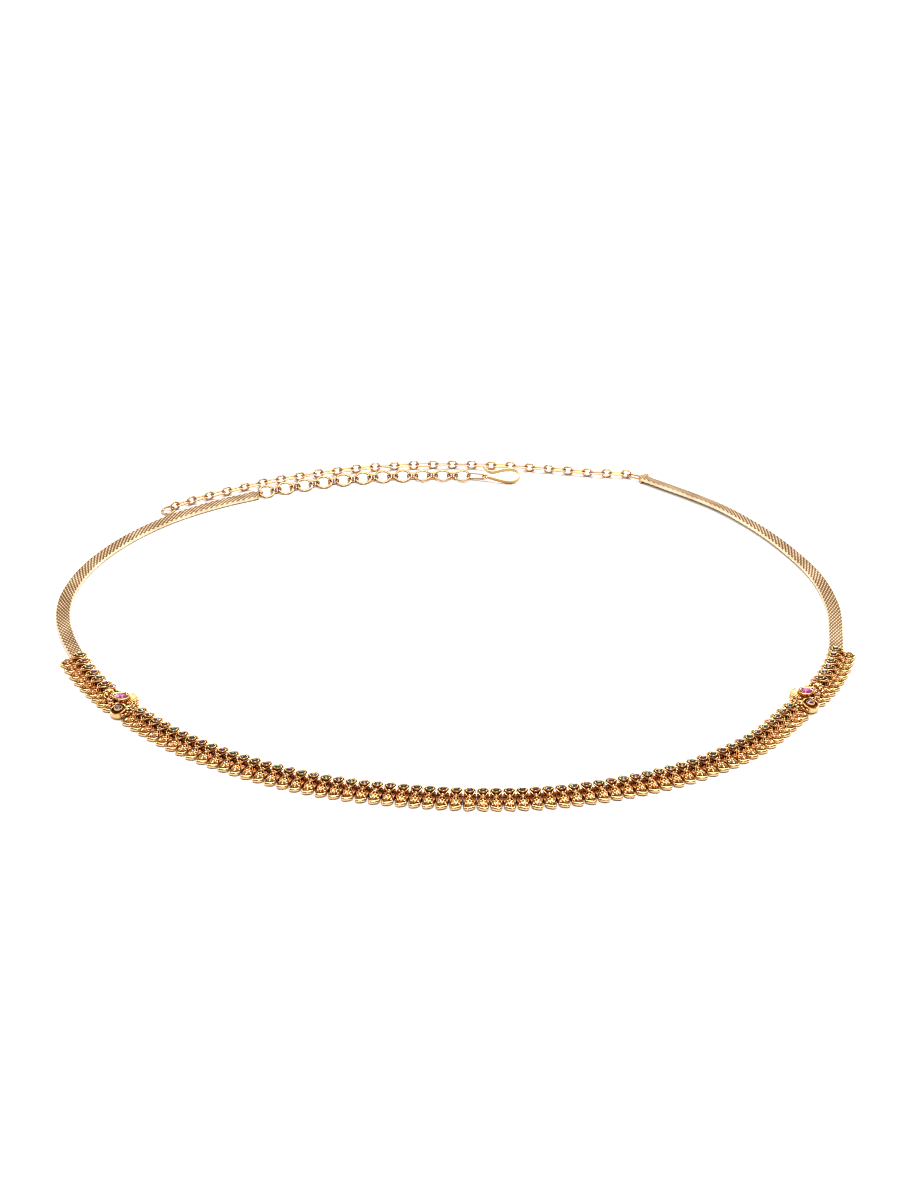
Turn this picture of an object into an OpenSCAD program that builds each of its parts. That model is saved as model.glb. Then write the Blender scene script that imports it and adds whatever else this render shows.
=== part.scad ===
// Jewelled waist belt laid open on a table: a strung front row of stone-set
// units with mango-shaped drops, two peacock motifs, two woven bands, a ring
// chain with a hook, and a long fine chain with an end ring.

/* [Front row] */
// Distance between two units on the left half of the row
left_pitch = 5.04; // [4.95:0.01:5.1]
// Distance between two units on the right half of the row
right_pitch = 4.94; // [4.9:0.01:5.05]
// Units on each side of the middle, as far as the peacock
middle_units = 30; // [26:2:30]
// Units between each peacock and its band
end_units = 6; // [4:1:6]
// Distance between two of the end units on the left
left_end_pitch = 5.25; // [5.0:0.05:5.4]
// From the last middle unit to the peacock
motif_front_gap = 13.6; // [13.4:0.1:14.2]
// From the peacock to the first end unit
motif_back_gap = 12.7; // [12.7:0.1:13.4]

/* [Unit] */
// Diameter of the small round stones
stone_d = 2.08; // [1.8:0.02:2.1]
// Outer diameter of the round bezel
bezel_d = 3.3; // [3.2:0.05:3.4]
// Height of the bezel's lip above the table
bezel_top = 4.6; // [4.3:0.1:4.8]
// Half the width of the rim round the bezel
rim_r = 2.24; // [2.1:0.02:2.26]
// Reach of the rim's rounded point from the middle of the stone
rim_tip = 3.5; // [3.3:0.1:3.7]
// Width of the rim's wire
rim_wire = 0.5; // [0.4:0.02:0.54]
// From the middle of the stone to the middle of the drop
drop_at = 5.9; // [5.8:0.1:6.4]
// Half the width of the drop's body
drop_r = 2.3; // [2.1:0.05:2.35]
// Height of the drop's dome
drop_top = 2.9; // [2.5:0.1:3.1]

/* [Bands] */
// Width of each woven band
band_w = 6.1; // [5:0.1:6.4]
// Thickness of each woven band
band_t = 2.0; // [1.4:0.1:2.2]
// Roll of the right band at its back end, in degrees
right_roll = 12; // [0:1:15]

/* [Chains] */
// Rings in the ring chain
ring_count = 11; // [6:1:11]
// Distance between two rings
ring_pitch = 9.1; // [9:0.05:9.2]
// Outer diameter of a ring
ring_d = 7.2; // [7:0.1:7.3]
// Wire of a ring
ring_wire = 0.9; // [0.8:0.05:0.95]
// Lean of the rings, in degrees
ring_tilt = 24; // [20:1:26]
// Upright links in the long chain
chain_count = 25; // [10:1:25]
// Distance between two upright links
chain_pitch = 8.9; // [8.85:0.01:8.95]
// Wire of the long chain
chain_wire = 0.8; // [0.7:0.05:0.82]

/* [Hidden] */
$fn = 24;

gold = "goldenrod";
left = -1;
right = 1;
// Clear space between pieces that touch on the real belt
play = 0.1;

// Plan of the belt's middle line: from the back end of the left band, round
// the front, to the back end of the right band
belt_plan = [
    [-87, 115], [-104, 106], [-121, 94], [-136, 79], [-148, 62], [-157, 43],
    [-162, 22], [-162, 3], [-158, -15], [-151, -33], [-142, -51], [-128, -71],
    [-105, -95], [-79, -113], [-51, -126], [-22, -133], [10, -136.5],
    [38, -135], [66, -128], [93, -116], [116.5, -98], [132, -77.5], [148, -54],
    [157, -31], [160, -10], [161, 12], [157, 37], [147, 62], [133.8, 84.9],
    [117, 105.8], [89, 130],
];
// The point of the plan at the middle of the front row
middle_point = 16;
// Plan of the ring chain, from its first ring to past the hook
ring_plan = [[-83, 117], [-57, 126.5], [-30, 132], [-3, 133.2], [8, 132.6], [23, 128.8]];
// Plan of the long chain, from the right band's end cap to the end ring
chain_plan = [
    [80.5, 134], [64, 135.5], [46, 139], [28, 142], [8, 143.5], [-12, 143.5],
    [-35, 141], [-52, 137], [-69, 131.5], [-84, 125.5], [-99, 117.5],
    [-115, 108], [-128, 98],
];
plan_steps = 8;

// Smooth curve through the points of a plan
function curve_point(a, b, c, d, t) = 0.5 * (2 * b + (c - a) * t
    + (2 * a - 5 * b + 4 * c - d) * t * t
    + (3 * b - a - 3 * c + d) * t * t * t);
function smooth(plan) = let(n = len(plan), p = concat([2 * plan[0] - plan[1]], plan,
        [2 * plan[n - 1] - plan[n - 2]]))
    [for (i = [1:n - 1], k = [0:plan_steps - 1])
        curve_point(p[i - 1], p[i], p[i + 1], p[i + 2], k / plan_steps),
     plan[n - 1]];
function step_length(path, i) = i < len(path) - 1 ? norm(path[i + 1] - path[i]) : 0;
function running(path) =
    [for (i = 0, s = 0; i < len(path); s = s + step_length(path, i), i = i + 1) s];
// A track is the curve as two tables, x and y against the distance along it
function track(plan) = let(path = smooth(plan), s = running(path))
    [[for (i = [0:len(path) - 1]) [s[i], path[i].x]],
     [for (i = [0:len(path) - 1]) [s[i], path[i].y]]];
function along(t, s) = [lookup(s, t[0]), lookup(s, t[1])];
function heading(t, s) = let(d = along(t, s + 0.5) - along(t, s - 0.5)) atan2(d.y, d.x);
function track_end(t) = t[0][len(t[0]) - 1][0];

belt = track(belt_plan);
rings = track(ring_plan);
chain = track(chain_plan);
middle_s = belt[0][middle_point * plan_steps][0];

// Distances from the middle of the front, counted outwards on one side
function pitch(side) = side == left ? left_pitch : right_pitch;
function middle_unit_s(side, i) = (i + 0.5) * pitch(side);
function motif_s(side) = middle_unit_s(side, middle_units - 1) + motif_front_gap;
function end_unit_s(side, i) = motif_s(side) + motif_back_gap
    + i * (side == left ? left_end_pitch : right_pitch);
function unit_list(side) = concat(
    [for (i = [0:middle_units - 1]) middle_unit_s(side, i)],
    [for (i = [0:end_units - 1]) end_unit_s(side, i)]);
// The bands start at the last units
function row_end_s(side) = end_unit_s(side, end_units - 1) + 2.35;
function band_end_s(side) = side == left ? middle_s - 1.2 : track_end(belt) - middle_s;

// Sits children at a distance from the middle of the front. There +X points
// along the row towards that side's end, +Y into the loop, and +Z up
module on_belt(side, s) {
    translate(concat(along(belt, middle_s + side * s), [0]))
        rotate([0, 0, heading(belt, middle_s + side * s)])
            mirror([side == left ? 1 : 0, 0, 0])
                children();
}

module on_track(t, s) {
    translate(concat(along(t, s), [0])) rotate([0, 0, heading(t, s)]) children();
}

// Outlines
function arc(center, r, from, to, steps) =
    [for (i = [0:steps]) let(a = from + (to - from) * i / steps) center + r * [cos(a), sin(a)]];
// Pear with its round end at the origin and its point at -Y
function pear(r, tip, tip_r, steps) = let(d = tip - tip_r, turn = acos((r - tip_r) / d))
    concat(arc([0, 0], r, turn - 90, 270 - turn, steps),
        arc([0, -d], tip_r, 270 - turn, 270 + turn, 4));

// The same outline built from two circles and the piece between them
module pear_shape(r, tip, tip_r) {
    d = tip - tip_r;
    turn = acos((r - tip_r) / d);
    a = [sin(turn), -cos(turn)] * 0.98;
    circle(r = r);
    translate([0, -d]) circle(r = tip_r);
    polygon([
        [a.x * r, a.y * r], [a.x * tip_r, a.y * tip_r - d],
        [-a.x * tip_r, a.y * tip_r - d], [-a.x * r, a.y * r],
    ]);
}

// Wire forms
module wire_arc(r, wire, angle) {
    rotate_extrude(angle = angle) translate([r, 0]) circle(d = wire, $fn = 16);
}
// A link in the XY plane: two half rings joined by straight wires along X
module link(length, width, wire) {
    r = (width - wire) / 2;
    straight = length - width;
    translate([straight / 2, 0, 0]) rotate([0, 0, -90]) wire_arc(r, wire, 180);
    translate([-straight / 2, 0, 0]) rotate([0, 0, 90]) wire_arc(r, wire, 180);
    for (y = [-r, r])
        translate([-straight / 2, y, 0]) rotate([0, 90, 0])
            cylinder(h = straight, d = wire, $fn = 16);
}

// Sweeps a section, given as [across, up] points, through stations of
// [x, y, z, heading, roll]
module sweep(stations, section) {
    n = len(section);
    last = len(stations) - 1;
    points = [for (st = stations, p = section)
        let(across = [-sin(st[3]), cos(st[3]), 0],
            u = p.x * cos(st[4]) - p.y * sin(st[4]),
            v = p.x * sin(st[4]) + p.y * cos(st[4]))
        [st[0], st[1], st[2] + v] + u * across];
    sides = [for (i = [0:last - 1], k = [0:n - 1], half = [0, 1])
        let(a = i * n + k, b = i * n + (k + 1) % n)
        half == 0 ? [a, b, a + n] : [b, b + n, a + n]];
    caps = [[for (k = [n - 1:-1:0]) k], [for (k = [0:n - 1]) last * n + k]];
    polyhedron(points, concat(sides, caps), convexity = 6);
}

// Stones
stone_facets = 8;
stone_z = 4.3;
// A cut stone, its girdle at z = 0, from an outline of any shape
module cut_stone(outline, crown, pavilion) {
    n = len(outline);
    girdle = 0.06;
    table = [for (p = outline) [p.x * 0.58, p.y * 0.58, crown]];
    upper = [for (p = outline) [p.x, p.y, girdle / 2]];
    lower = [for (p = outline) [p.x, p.y, -girdle / 2]];
    keel = [for (p = outline) [p.x * 0.15, p.y * 0.15, -pavilion]];
    points = concat(keel, lower, upper, table);
    bands = [for (level = [0:2], k = [0:n - 1])
        let(a = level * n + k, b = level * n + (k + 1) % n)
        [a, a + n, b + n, b]];
    polyhedron(points, concat(bands, [[for (k = [0:n - 1]) k]],
        [[for (k = [n - 1:-1:0]) 3 * n + k]]), convexity = 2);
}
module round_stone(d) {
    cut_stone(arc([0, 0], d / 2, 0, 360 - 360 / stone_facets, stone_facets - 1),
        d * 0.26, d * 0.33);
}

// Front units
string_z = 1.15;
string_d = 0.6;
string_hole_d = 1.1;
rim_z = 3.4;
rim_h = 0.65;
rim_tip_r = 1.6;
granule_r = 0.6;
base_z = [0.35, 2.0];
base_w = 4.3;
drop_plate_h = 1.5;
drop_foot_h = 0.45;
drop_foot_in = 0.35;
drop_tip = [0.9, -1.35];
drop_tip_r = 1.3;
drop_head = 1.7;

// A conical cup with the bezel on top and a seat for the stone
module collet() {
    seat_r = stone_d / 2 + play + 0.01;
    rotate_extrude() polygon([
        [0, 0.1], [1.1, 0.1], [1.45, 2.7], [bezel_d / 2, 3.3],
        [bezel_d / 2, bezel_top - 0.15], [bezel_d / 2 - 0.15, bezel_top],
        [seat_r, bezel_top - 0.05], [seat_r, stone_z - 0.15], [0.35, stone_z - 0.95],
        [0, stone_z - 0.95],
    ]);
}

// A plate with a crescent cut out between its edge and the bezel
module rim() {
    translate([0, 0, rim_z]) linear_extrude(rim_h) difference() {
        pear_shape(rim_r, rim_tip, rim_tip_r);
        circle(d = bezel_d - 0.5);
        difference() {
            pear_shape(rim_r - rim_wire, rim_tip - rim_wire, rim_tip_r - rim_wire / 2);
            translate([-3, 0.2]) square([6, 3]);
        }
    }
}

// The mango-shaped drop: a thick plate on a smaller foot, a dome, a head where
// it joins the unit, and a granule at the tip
module drop(r = drop_r) {
    tip_d = norm(drop_tip) + drop_tip_r;
    translate([0, -drop_at, 0]) {
        rotate([0, 0, atan2(drop_tip.x, -drop_tip.y)]) {
            linear_extrude(drop_foot_h + 0.1)
                pear_shape(r - drop_foot_in, tip_d - drop_foot_in, drop_tip_r - drop_foot_in);
            translate([0, 0, drop_foot_h]) linear_extrude(drop_plate_h - drop_foot_h)
                pear_shape(r, tip_d, drop_tip_r);
        }
        rotate_extrude() polygon([
            [0, 1], [r - 0.15, 1], [r - 0.2, drop_plate_h + 0.2],
            [r - 0.8, drop_top - 0.35], [0.7, drop_top], [0, drop_top],
        ]);
        translate([0, drop_head, 1.0]) cylinder(h = 1.3, r = r / 2);
        translate(concat(drop_tip, [drop_plate_h])) sphere(r = 0.5);
    }
}

// The flat base that carries the collet and reaches to the drop; the wire runs
// through it
module base() {
    a = base_w / 2;
    translate([0, 0, base_z[0]]) linear_extrude(base_z[1] - base_z[0]) polygon([
        [-a, 0.9], [-a, 2.2 - drop_at], [0.25 - a, 1.4 - drop_at],
        [a - 0.25, 1.4 - drop_at], [a, 2.2 - drop_at], [a, 0.9],
    ]);
}

module unit() {
    difference() {
        union() {
            collet();
            rim();
            translate([0, rim_r + 0.45, rim_z + rim_h / 2]) sphere(r = granule_r);
            base();
            translate([0, 0.6 - rim_tip, 1.5]) cylinder(h = rim_z - 1.4, r = 0.5);
            drop();
        }
        translate([-3, 0, string_z]) rotate([0, 90, 0])
            cylinder(h = 6, d = string_hole_d, $fn = 16);
    }
}

module front_units(side) {
    color(gold) for (s = unit_list(side)) on_belt(side, s) unit();
}
module front_units_left() front_units(left);
module front_units_right() front_units(right);

// The stones take turns along the row: every second one is green
module row_stones(first) {
    for (side = [left, right], part = [0, 1])
        for (i = [first:2:(part == 0 ? middle_units : end_units) - 1])
            on_belt(side, part == 0 ? middle_unit_s(side, i) : end_unit_s(side, i))
                translate([0, 0, stone_z]) round_stone(stone_d);
}
module emerald_stones() color("seagreen") row_stones(1);
module ruby_stones() color("mediumvioletred") row_stones(0);

// The wire on which units and peacocks are strung, from band to band
module stringing_wire() {
    from = middle_s - row_end_s(left) + play;
    to = middle_s + row_end_s(right) - play;
    steps = 80;
    color("peru") sweep(
        [for (i = [0:steps]) let(s = from + (to - from) * i / steps, p = along(belt, s))
            [p.x, p.y, string_z, heading(belt, s), 0]],
        arc([0, 0], string_d / 2, 0, 300, 5));
}

// Peacock motif, with its middle on the row
tear_at = [0, -0.5];
tear_turn = 57;
tear_r = 1.9;
tear_tip = 3.4;
tear_tip_r = 0.9;
tear_z = 4.6;
tear_wall = 0.9;
tear_play = play + 0.08;
plate_z = 1.95;
plate_h = 0.8;
fan_at = [-1.4, 2.2];
fan_r = 4.2;
fan_h = 1.8;
crest_at = [8.8, 1.7];
crest_d = 1.9;
crest_z = 4.2;
side_at = [0.3, -4.5];
side_d = 1.6;
side_z = 3.4;
pendant_at = [-6.2, -5.3];
pendant_r = 3.3;
pendant_stone_d = 2.3;
pendant_stone_z = 3.65;
pendant_stone_at = [0.3, 0.3];
pendant_tilt = 15;
// Places of the three narrower drops along the row
motif_drops = [-0.4, 3.9, 8.2];

module on_motif(side) on_belt(side, motif_s(side)) children();

// A round setting that stands from a base height to just over its stone
module setting(d, wall, base, girdle) {
    seat_r = d / 2 + play + 0.05;
    outer_r = seat_r + wall;
    rotate_extrude() polygon([
        [0, base], [outer_r - 0.2, base], [outer_r, girdle - 0.5], [outer_r, girdle + 0.15],
        [outer_r - 0.15, girdle + 0.3], [seat_r, girdle + 0.25], [seat_r, girdle - 0.15],
        [0.35, girdle - 0.45 * d - 0.15], [0, girdle - 0.45 * d - 0.15],
    ]);
}

module tear_setting() {
    translate(concat(tear_at, [0])) rotate([0, 0, tear_turn]) translate([0, 0.9, 0]) {
        difference() {
            translate([0, 0, plate_z + 0.3]) linear_extrude(tear_z - plate_z)
                pear_shape(tear_r + tear_wall, tear_tip + tear_wall, tear_tip_r + tear_wall);
            translate([0, 0, tear_z - 1.15]) linear_extrude(3)
                pear_shape(tear_r + tear_play, tear_tip + tear_play, tear_tip_r + tear_play);
        }
    }
}

// The ribbed tail fan, cut to the part that opens away from the setting
module fan() {
    translate(concat(fan_at, [plate_z])) {
        linear_extrude(fan_h) difference() {
            intersection() {
                circle(r = fan_r);
                polygon([[1.2, -1.5], [1.8, 6], [-6, 6], [-6, -3.5], [-1, -3.5]]);
            }
            translate([0.65, -2.2]) circle(r = tear_r + 0.4);
        }
        for (a = [75:22:190])
            translate([0, 0, fan_h]) rotate([0, 0, a]) translate([2.0, 0, 0])
                rotate([0, 90, 0]) cylinder(h = 2.0, r = 0.3, $fn = 16);
    }
}

// A drum whose open top leans outwards, with a setting inside
module pendant() {
    translate(concat(pendant_at, [0])) {
        difference() {
            rotate_extrude() polygon([
                [0, 0], [pendant_r - 0.9, 0], [pendant_r - 0.3, 0.5], [pendant_r, 1.4],
                [pendant_r, 5], [0, 5],
            ]);
            translate([0, 0, 3.6]) rotate([pendant_tilt, 0, 0])
                translate([-5, -5, 0]) cube([10, 10, 4]);
            translate([0, 0, 2.1]) cylinder(h = 5, r = pendant_r - 0.55);
        }
        translate(concat(pendant_stone_at, [0]))
            setting(pendant_stone_d, 0.55, 1.5, pendant_stone_z);
    }
}

// The plate that carries the settings, with feet, lugs and drops' necks
module motif_base() {
    translate([0, 0, plate_z]) linear_extrude(plate_h) polygon([
        [-8.6, -4.6], [-8.6, 0.8], [-5.6, 4.4], [0, 4.4], [3.4, 2.9], [8.2, 2.9],
        [9.4, 1.2], [9.2, -3.2], [4.5, -5], [-3, -5.4],
    ]);
    for (p = [[-2.4, 3.4], [7.6, 2.1]])
        translate([p.x, p.y, 0]) cylinder(h = plate_z + 0.4, r = 0.8);
    difference() {
        for (x = [-6.6, 6.2]) translate([x - 0.8, -1.2, 0.25]) cube([1.6, 2.4, 2]);
        translate([-9, 0, string_z]) rotate([0, 90, 0])
            cylinder(h = 18, d = string_hole_d + 0.3, $fn = 24);
    }
    translate([-1.3, -4.7, 0.5]) cube([10.3, 1.7, 1.65]);
}

module peacock(side) {
    color(gold) {
        on_motif(side) {
            motif_base();
            tear_setting();
            fan();
            translate(concat(crest_at, [0])) setting(crest_d, 0.3, plate_z, crest_z);
            translate(concat(side_at, [0])) setting(side_d, 0.35, plate_z, side_z);
            // smooth lobe below the crest
            translate([8.0, -0.5, plate_z]) rotate_extrude() polygon([
                [0, 0], [1.6, 0], [1.6, 1.3], [1.2, 2.0], [0.5, 2.3], [0, 2.3],
            ]);
            // granules round the setting
            for (g = [[6.6, 1.9], [5.2, 2.5], [-2.7, -3.6], [3.6, 2.6]])
                translate(concat(g, [3.1])) sphere(r = 0.65);
            translate([-8.0, -2.3, 2.9]) sphere(r = 0.9);
            // small loops towards the middle units
            for (p = [[-5.9, 4.0], [-6.4, 1.9]])
                translate([p.x, p.y, 3.2]) wire_arc(0.8, 0.5, 360);
            pendant();
        }
        for (d = motif_drops) on_belt(side, motif_s(side) + d) drop(1.95);
    }
}
module peacock_left() peacock(left);
module peacock_right() peacock(right);

module teardrop_stone(side) {
    color("deeppink") on_motif(side) translate(concat(tear_at, [tear_z]))
        rotate([0, 0, tear_turn]) translate([0, 0.9, 0])
            cut_stone(pear(tear_r, tear_tip, tear_tip_r, 10), 0.75, 0.9);
}
module teardrop_stone_left() teardrop_stone(left);
module teardrop_stone_right() teardrop_stone(right);

module pendant_stone(side) {
    color("mediumvioletred") on_motif(side)
        translate(concat(pendant_at + pendant_stone_at, [pendant_stone_z]))
            round_stone(pendant_stone_d);
}
module pendant_stone_left() pendant_stone(left);
module pendant_stone_right() pendant_stone(right);

module crest_stone(side) {
    color("palevioletred") on_motif(side) translate(concat(crest_at, [crest_z]))
        round_stone(crest_d);
}
module crest_stone_left() crest_stone(left);
module crest_stone_right() crest_stone(right);

module side_stone(side) {
    color("palevioletred") on_motif(side) translate(concat(side_at, [side_z]))
        round_stone(side_d);
}
module side_stone_left() side_stone(left);
module side_stone_right() side_stone(right);

// Woven bands
edge = 0.35;
band_section = [
    [-band_w / 2, edge - band_t / 2], [edge - band_w / 2, -band_t / 2],
    [band_w / 2 - edge, -band_t / 2], [band_w / 2, edge - band_t / 2],
    [band_w / 2, band_t / 2 - edge], [band_w / 2 - edge, band_t / 2],
    [edge - band_w / 2, band_t / 2], [-band_w / 2, band_t / 2 - edge],
];
band_step = 4;
// The right band lies flat near the row and rolls towards its back end
function band_roll(side, s) = side == left ? 0
    : right_roll * min(1, max(0, (s - row_end_s(side) - 40) / 100));
function band_middle_z(roll) = (band_w / 2 - edge) * sin(roll) + band_t / 2 * cos(roll);
function band_station(side, s) = let(at = middle_s + side * s, p = along(belt, at),
        roll = band_roll(side, s))
    [p.x, p.y, band_middle_z(roll), heading(belt, at), roll];

module band(side) {
    from = row_end_s(side);
    to = band_end_s(side);
    steps = round((to - from) / band_step);
    stations = [for (i = [0:steps])
        let(k = side == left ? steps - i : i) band_station(side, from + (to - from) * k / steps)];
    color(gold) sweep(stations, band_section);
}
module band_left() band(left);
module band_right() band(right);

// Left end cap: a tapered plate with an upright lug for the first ring
lug_hole = [2.4, 1.75];
lug_hole_d = 2.0;
module end_cap_left() {
    color(gold) on_belt(left, band_end_s(left)) translate([play, 0, 0]) difference() {
        union() {
            linear_extrude(band_t - 0.2) polygon([
                [0, -band_w / 2], [0.7, -band_w / 2], [1.4, -1.2], [1.4, 1.2],
                [0.7, band_w / 2], [0, band_w / 2],
            ]);
            translate([0.5, -0.5, 0]) cube([1.9, 1, lug_hole.y + 1.4]);
            translate([lug_hole.x, 0.5, lug_hole.y]) rotate([90, 0, 0])
                cylinder(h = 1, r = 1.4);
        }
        translate([lug_hole.x, 2, lug_hole.y]) rotate([90, 0, 0])
            cylinder(h = 4, d = lug_hole_d);
    }
}

// Right end cap: a tapered plate with a long bail for the first link
bail_l = 8.0;
bail_w = 3.5;
bail_wire = 0.9;
bail_turn = 14;
module end_cap_right() {
    color(gold) on_belt(right, band_end_s(right)) translate([play, 0, 0]) {
        translate([0, 0, band_middle_z(right_roll)]) rotate([-right_roll, 0, 0])
            translate([0, 0, -band_t / 2]) linear_extrude(band_t) polygon([
                [0, -band_w / 2 + 0.2], [0.8, -band_w / 2 + 0.2], [2.6, -0.9], [2.6, 1.3],
                [0.8, band_w / 2 - 0.2], [0, band_w / 2 - 0.2],
            ]);
        translate([1.2, 0, 1.5]) rotate([0, 0, bail_turn]) translate([bail_l / 2, 0, 0])
            link(bail_l, bail_w, bail_wire);
    }
}

// Ring chain
ring_r = (ring_d - ring_wire) / 2;
ring_z = ring_r * sin(ring_tilt) + ring_wire / 2;
joint_wire = 0.75;
joint_l = ring_pitch - 2 * ring_r + ring_wire + 2 * (play + 0.03 + joint_wire);
joint_w = 2 * ring_z;

module ring_chain() {
    color(gold) {
        for (i = [0:ring_count - 1]) on_track(rings, i * ring_pitch)
            translate([0, 0, ring_z]) rotate([i < 8 ? ring_tilt : ring_tilt - 9, 0, 0])
                wire_arc(ring_r, ring_wire, 360);
        for (i = [0:ring_count - 2]) on_track(rings, (i + 0.5) * ring_pitch)
            translate([0, 0, ring_z]) rotate([90, 0, 0]) link(joint_l, joint_w, joint_wire);
    }
}

// Hook of flat strip, with an eye in the long link after the last ring
hook_strip = 0.6;
hook_w = 1.9;
hook_lean = 25;
eye_r = 1.1;
eye_wire = 0.8;
hook_link_wire = 0.7;
eye_s = (ring_count - 1) * ring_pitch + 10.6;
hook_curve = [
    [1.3, -0.3], [5.5, -1.8], [10.2, -3.1], [13.4, -2.7], [15.4, -0.8], [15.6, 1.3],
    [14.4, 3.3], [12, 4.2], [8.5, 3.9], [5.4, 2.9], [3.2, 2.5], [1.4, 3.1], [0.2, 4.4],
    [-0.6, 6.0],
];
function normal_at(path, i) = let(n = len(path),
        d = path[min(i + 1, n - 1)] - path[max(i - 1, 0)]) [-d.y, d.x] / norm(d);
function strip(path, w) = concat(
    [for (i = [0:len(path) - 1]) path[i] + w / 2 * normal_at(path, i)],
    [for (i = [len(path) - 1:-1:0]) path[i] - w / 2 * normal_at(path, i)]);

// Height of the eye when the hook's lowest corner is on the table
hook_z = 3.46 * sin(hook_lean) + hook_w / 2 * cos(hook_lean);

module hook() {
    path = smooth(hook_curve);
    color(gold) translate(concat(along(rings, eye_s), [hook_z])) rotate([hook_lean, 0, 0]) {
        linear_extrude(hook_w, center = true)
            polygon(strip([for (i = [0:2:len(path) - 1]) path[i]], hook_strip));
        wire_arc(eye_r, eye_wire, 360);
    }
}

// The link that joins the last ring and the hook's eye
hook_link_w = 3.2;
hook_link_from = (ring_count - 1) * ring_pitch + ring_r - ring_wire / 2 - play - 0.1
    - hook_link_wire;
hook_link_to = eye_s + 0.05 + hook_link_wire / 2;
module hook_link() {
    l = hook_link_to - hook_link_from;
    rise = hook_z - ring_z;
    color(gold) on_track(rings, hook_link_from + l / 2)
        translate([0, 0, (hook_z + ring_z) / 2]) rotate([0, -asin(rise / (l - 1)), 0])
            rotate([90, 0, 0]) link(l, hook_link_w, hook_link_wire);
}

// Long chain: upright links and longer flat links take turns
upright_l = 5.1;
upright_w = 4.2;
chain_z = upright_w / 2;
flat_w = 3.3;
// From the middle of an upright link to the end wire of a flat one
link_seat = upright_l / 2 - 1.5 * chain_wire - play - 0.02;
flat_l = chain_pitch - 2 * link_seat + chain_wire;

module long_chain() {
    color(gold) {
        for (i = [0:chain_count - 1]) on_track(chain, i * chain_pitch)
            translate([0, 0, chain_z]) rotate([90 + 6 * sin(i * 140), 0, 0])
                link(upright_l, upright_w, chain_wire);
        for (i = [0:chain_count - 2]) on_track(chain, (i + 0.5) * chain_pitch)
            translate([0, 0, chain_z]) rotate([5 * sin(i * 97), 0, 0])
                link(flat_l, flat_w, chain_wire);
    }
}

end_ring_d = 6.7;
end_ring_wire = 1.0;
end_ring_lean = 12;
module end_ring() {
    r = (end_ring_d - end_ring_wire) / 2;
    color(gold) on_track(chain, (chain_count - 1) * chain_pitch + 0.85 + r * cos(end_ring_lean))
        translate([0, 0, r * sin(end_ring_lean) + end_ring_wire / 2])
            rotate([0, end_ring_lean, 0]) wire_arc(r, end_ring_wire, 360);
}

front_units_left();
front_units_right();
peacock_left();
peacock_right();
stringing_wire();
emerald_stones();
ruby_stones();
teardrop_stone_left();
teardrop_stone_right();
pendant_stone_left();
pendant_stone_right();
crest_stone_left();
crest_stone_right();
side_stone_left();
side_stone_right();
band_left();
band_right();
end_cap_left();
end_cap_right();
ring_chain();
hook_link();
hook();
long_chain();
end_ring();
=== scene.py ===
"""Stone-set waist belt laid open on a table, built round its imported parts.

Lengths inside the piece builders are in millimetres, like a bench drawing. Each finished piece is
brought to metres when it is put on the belt.
"""

import math

import bmesh
import bpy
from bpy.props import FloatProperty, FloatVectorProperty, IntProperty, PointerProperty
from mathutils import Matrix, Vector


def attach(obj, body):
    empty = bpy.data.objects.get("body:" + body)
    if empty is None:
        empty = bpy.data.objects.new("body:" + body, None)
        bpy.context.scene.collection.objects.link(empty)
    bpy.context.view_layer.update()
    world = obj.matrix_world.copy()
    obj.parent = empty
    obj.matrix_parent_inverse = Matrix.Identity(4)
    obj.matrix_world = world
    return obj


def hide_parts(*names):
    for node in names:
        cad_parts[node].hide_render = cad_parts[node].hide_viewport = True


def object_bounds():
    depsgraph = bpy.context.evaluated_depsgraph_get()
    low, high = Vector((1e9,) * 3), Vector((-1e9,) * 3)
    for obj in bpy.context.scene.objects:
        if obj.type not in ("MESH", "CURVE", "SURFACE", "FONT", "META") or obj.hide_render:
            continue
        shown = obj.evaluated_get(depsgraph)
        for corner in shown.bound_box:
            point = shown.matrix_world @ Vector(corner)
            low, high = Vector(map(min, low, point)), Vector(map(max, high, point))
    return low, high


bl_info = {
    "name": "Waist Chain Belt",
    "version": (1, 0, 0),
    "blender": (4, 5, 0),
    "location": "3D View > Sidebar > Waist Belt",
    "description": "Builds a stone-set waist belt with woven bands, two chains and a hook",
    "category": "Add Mesh",
}

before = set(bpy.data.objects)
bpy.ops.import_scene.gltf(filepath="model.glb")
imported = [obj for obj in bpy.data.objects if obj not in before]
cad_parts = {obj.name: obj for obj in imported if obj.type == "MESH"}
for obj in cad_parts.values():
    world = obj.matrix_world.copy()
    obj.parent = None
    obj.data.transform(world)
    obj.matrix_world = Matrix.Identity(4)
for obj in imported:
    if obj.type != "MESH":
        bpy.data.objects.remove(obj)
cad_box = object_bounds()

MM = 0.001
LEFT = -1
RIGHT = 1
SIDE_NAMES = {LEFT: "left", RIGHT: "right"}

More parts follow.
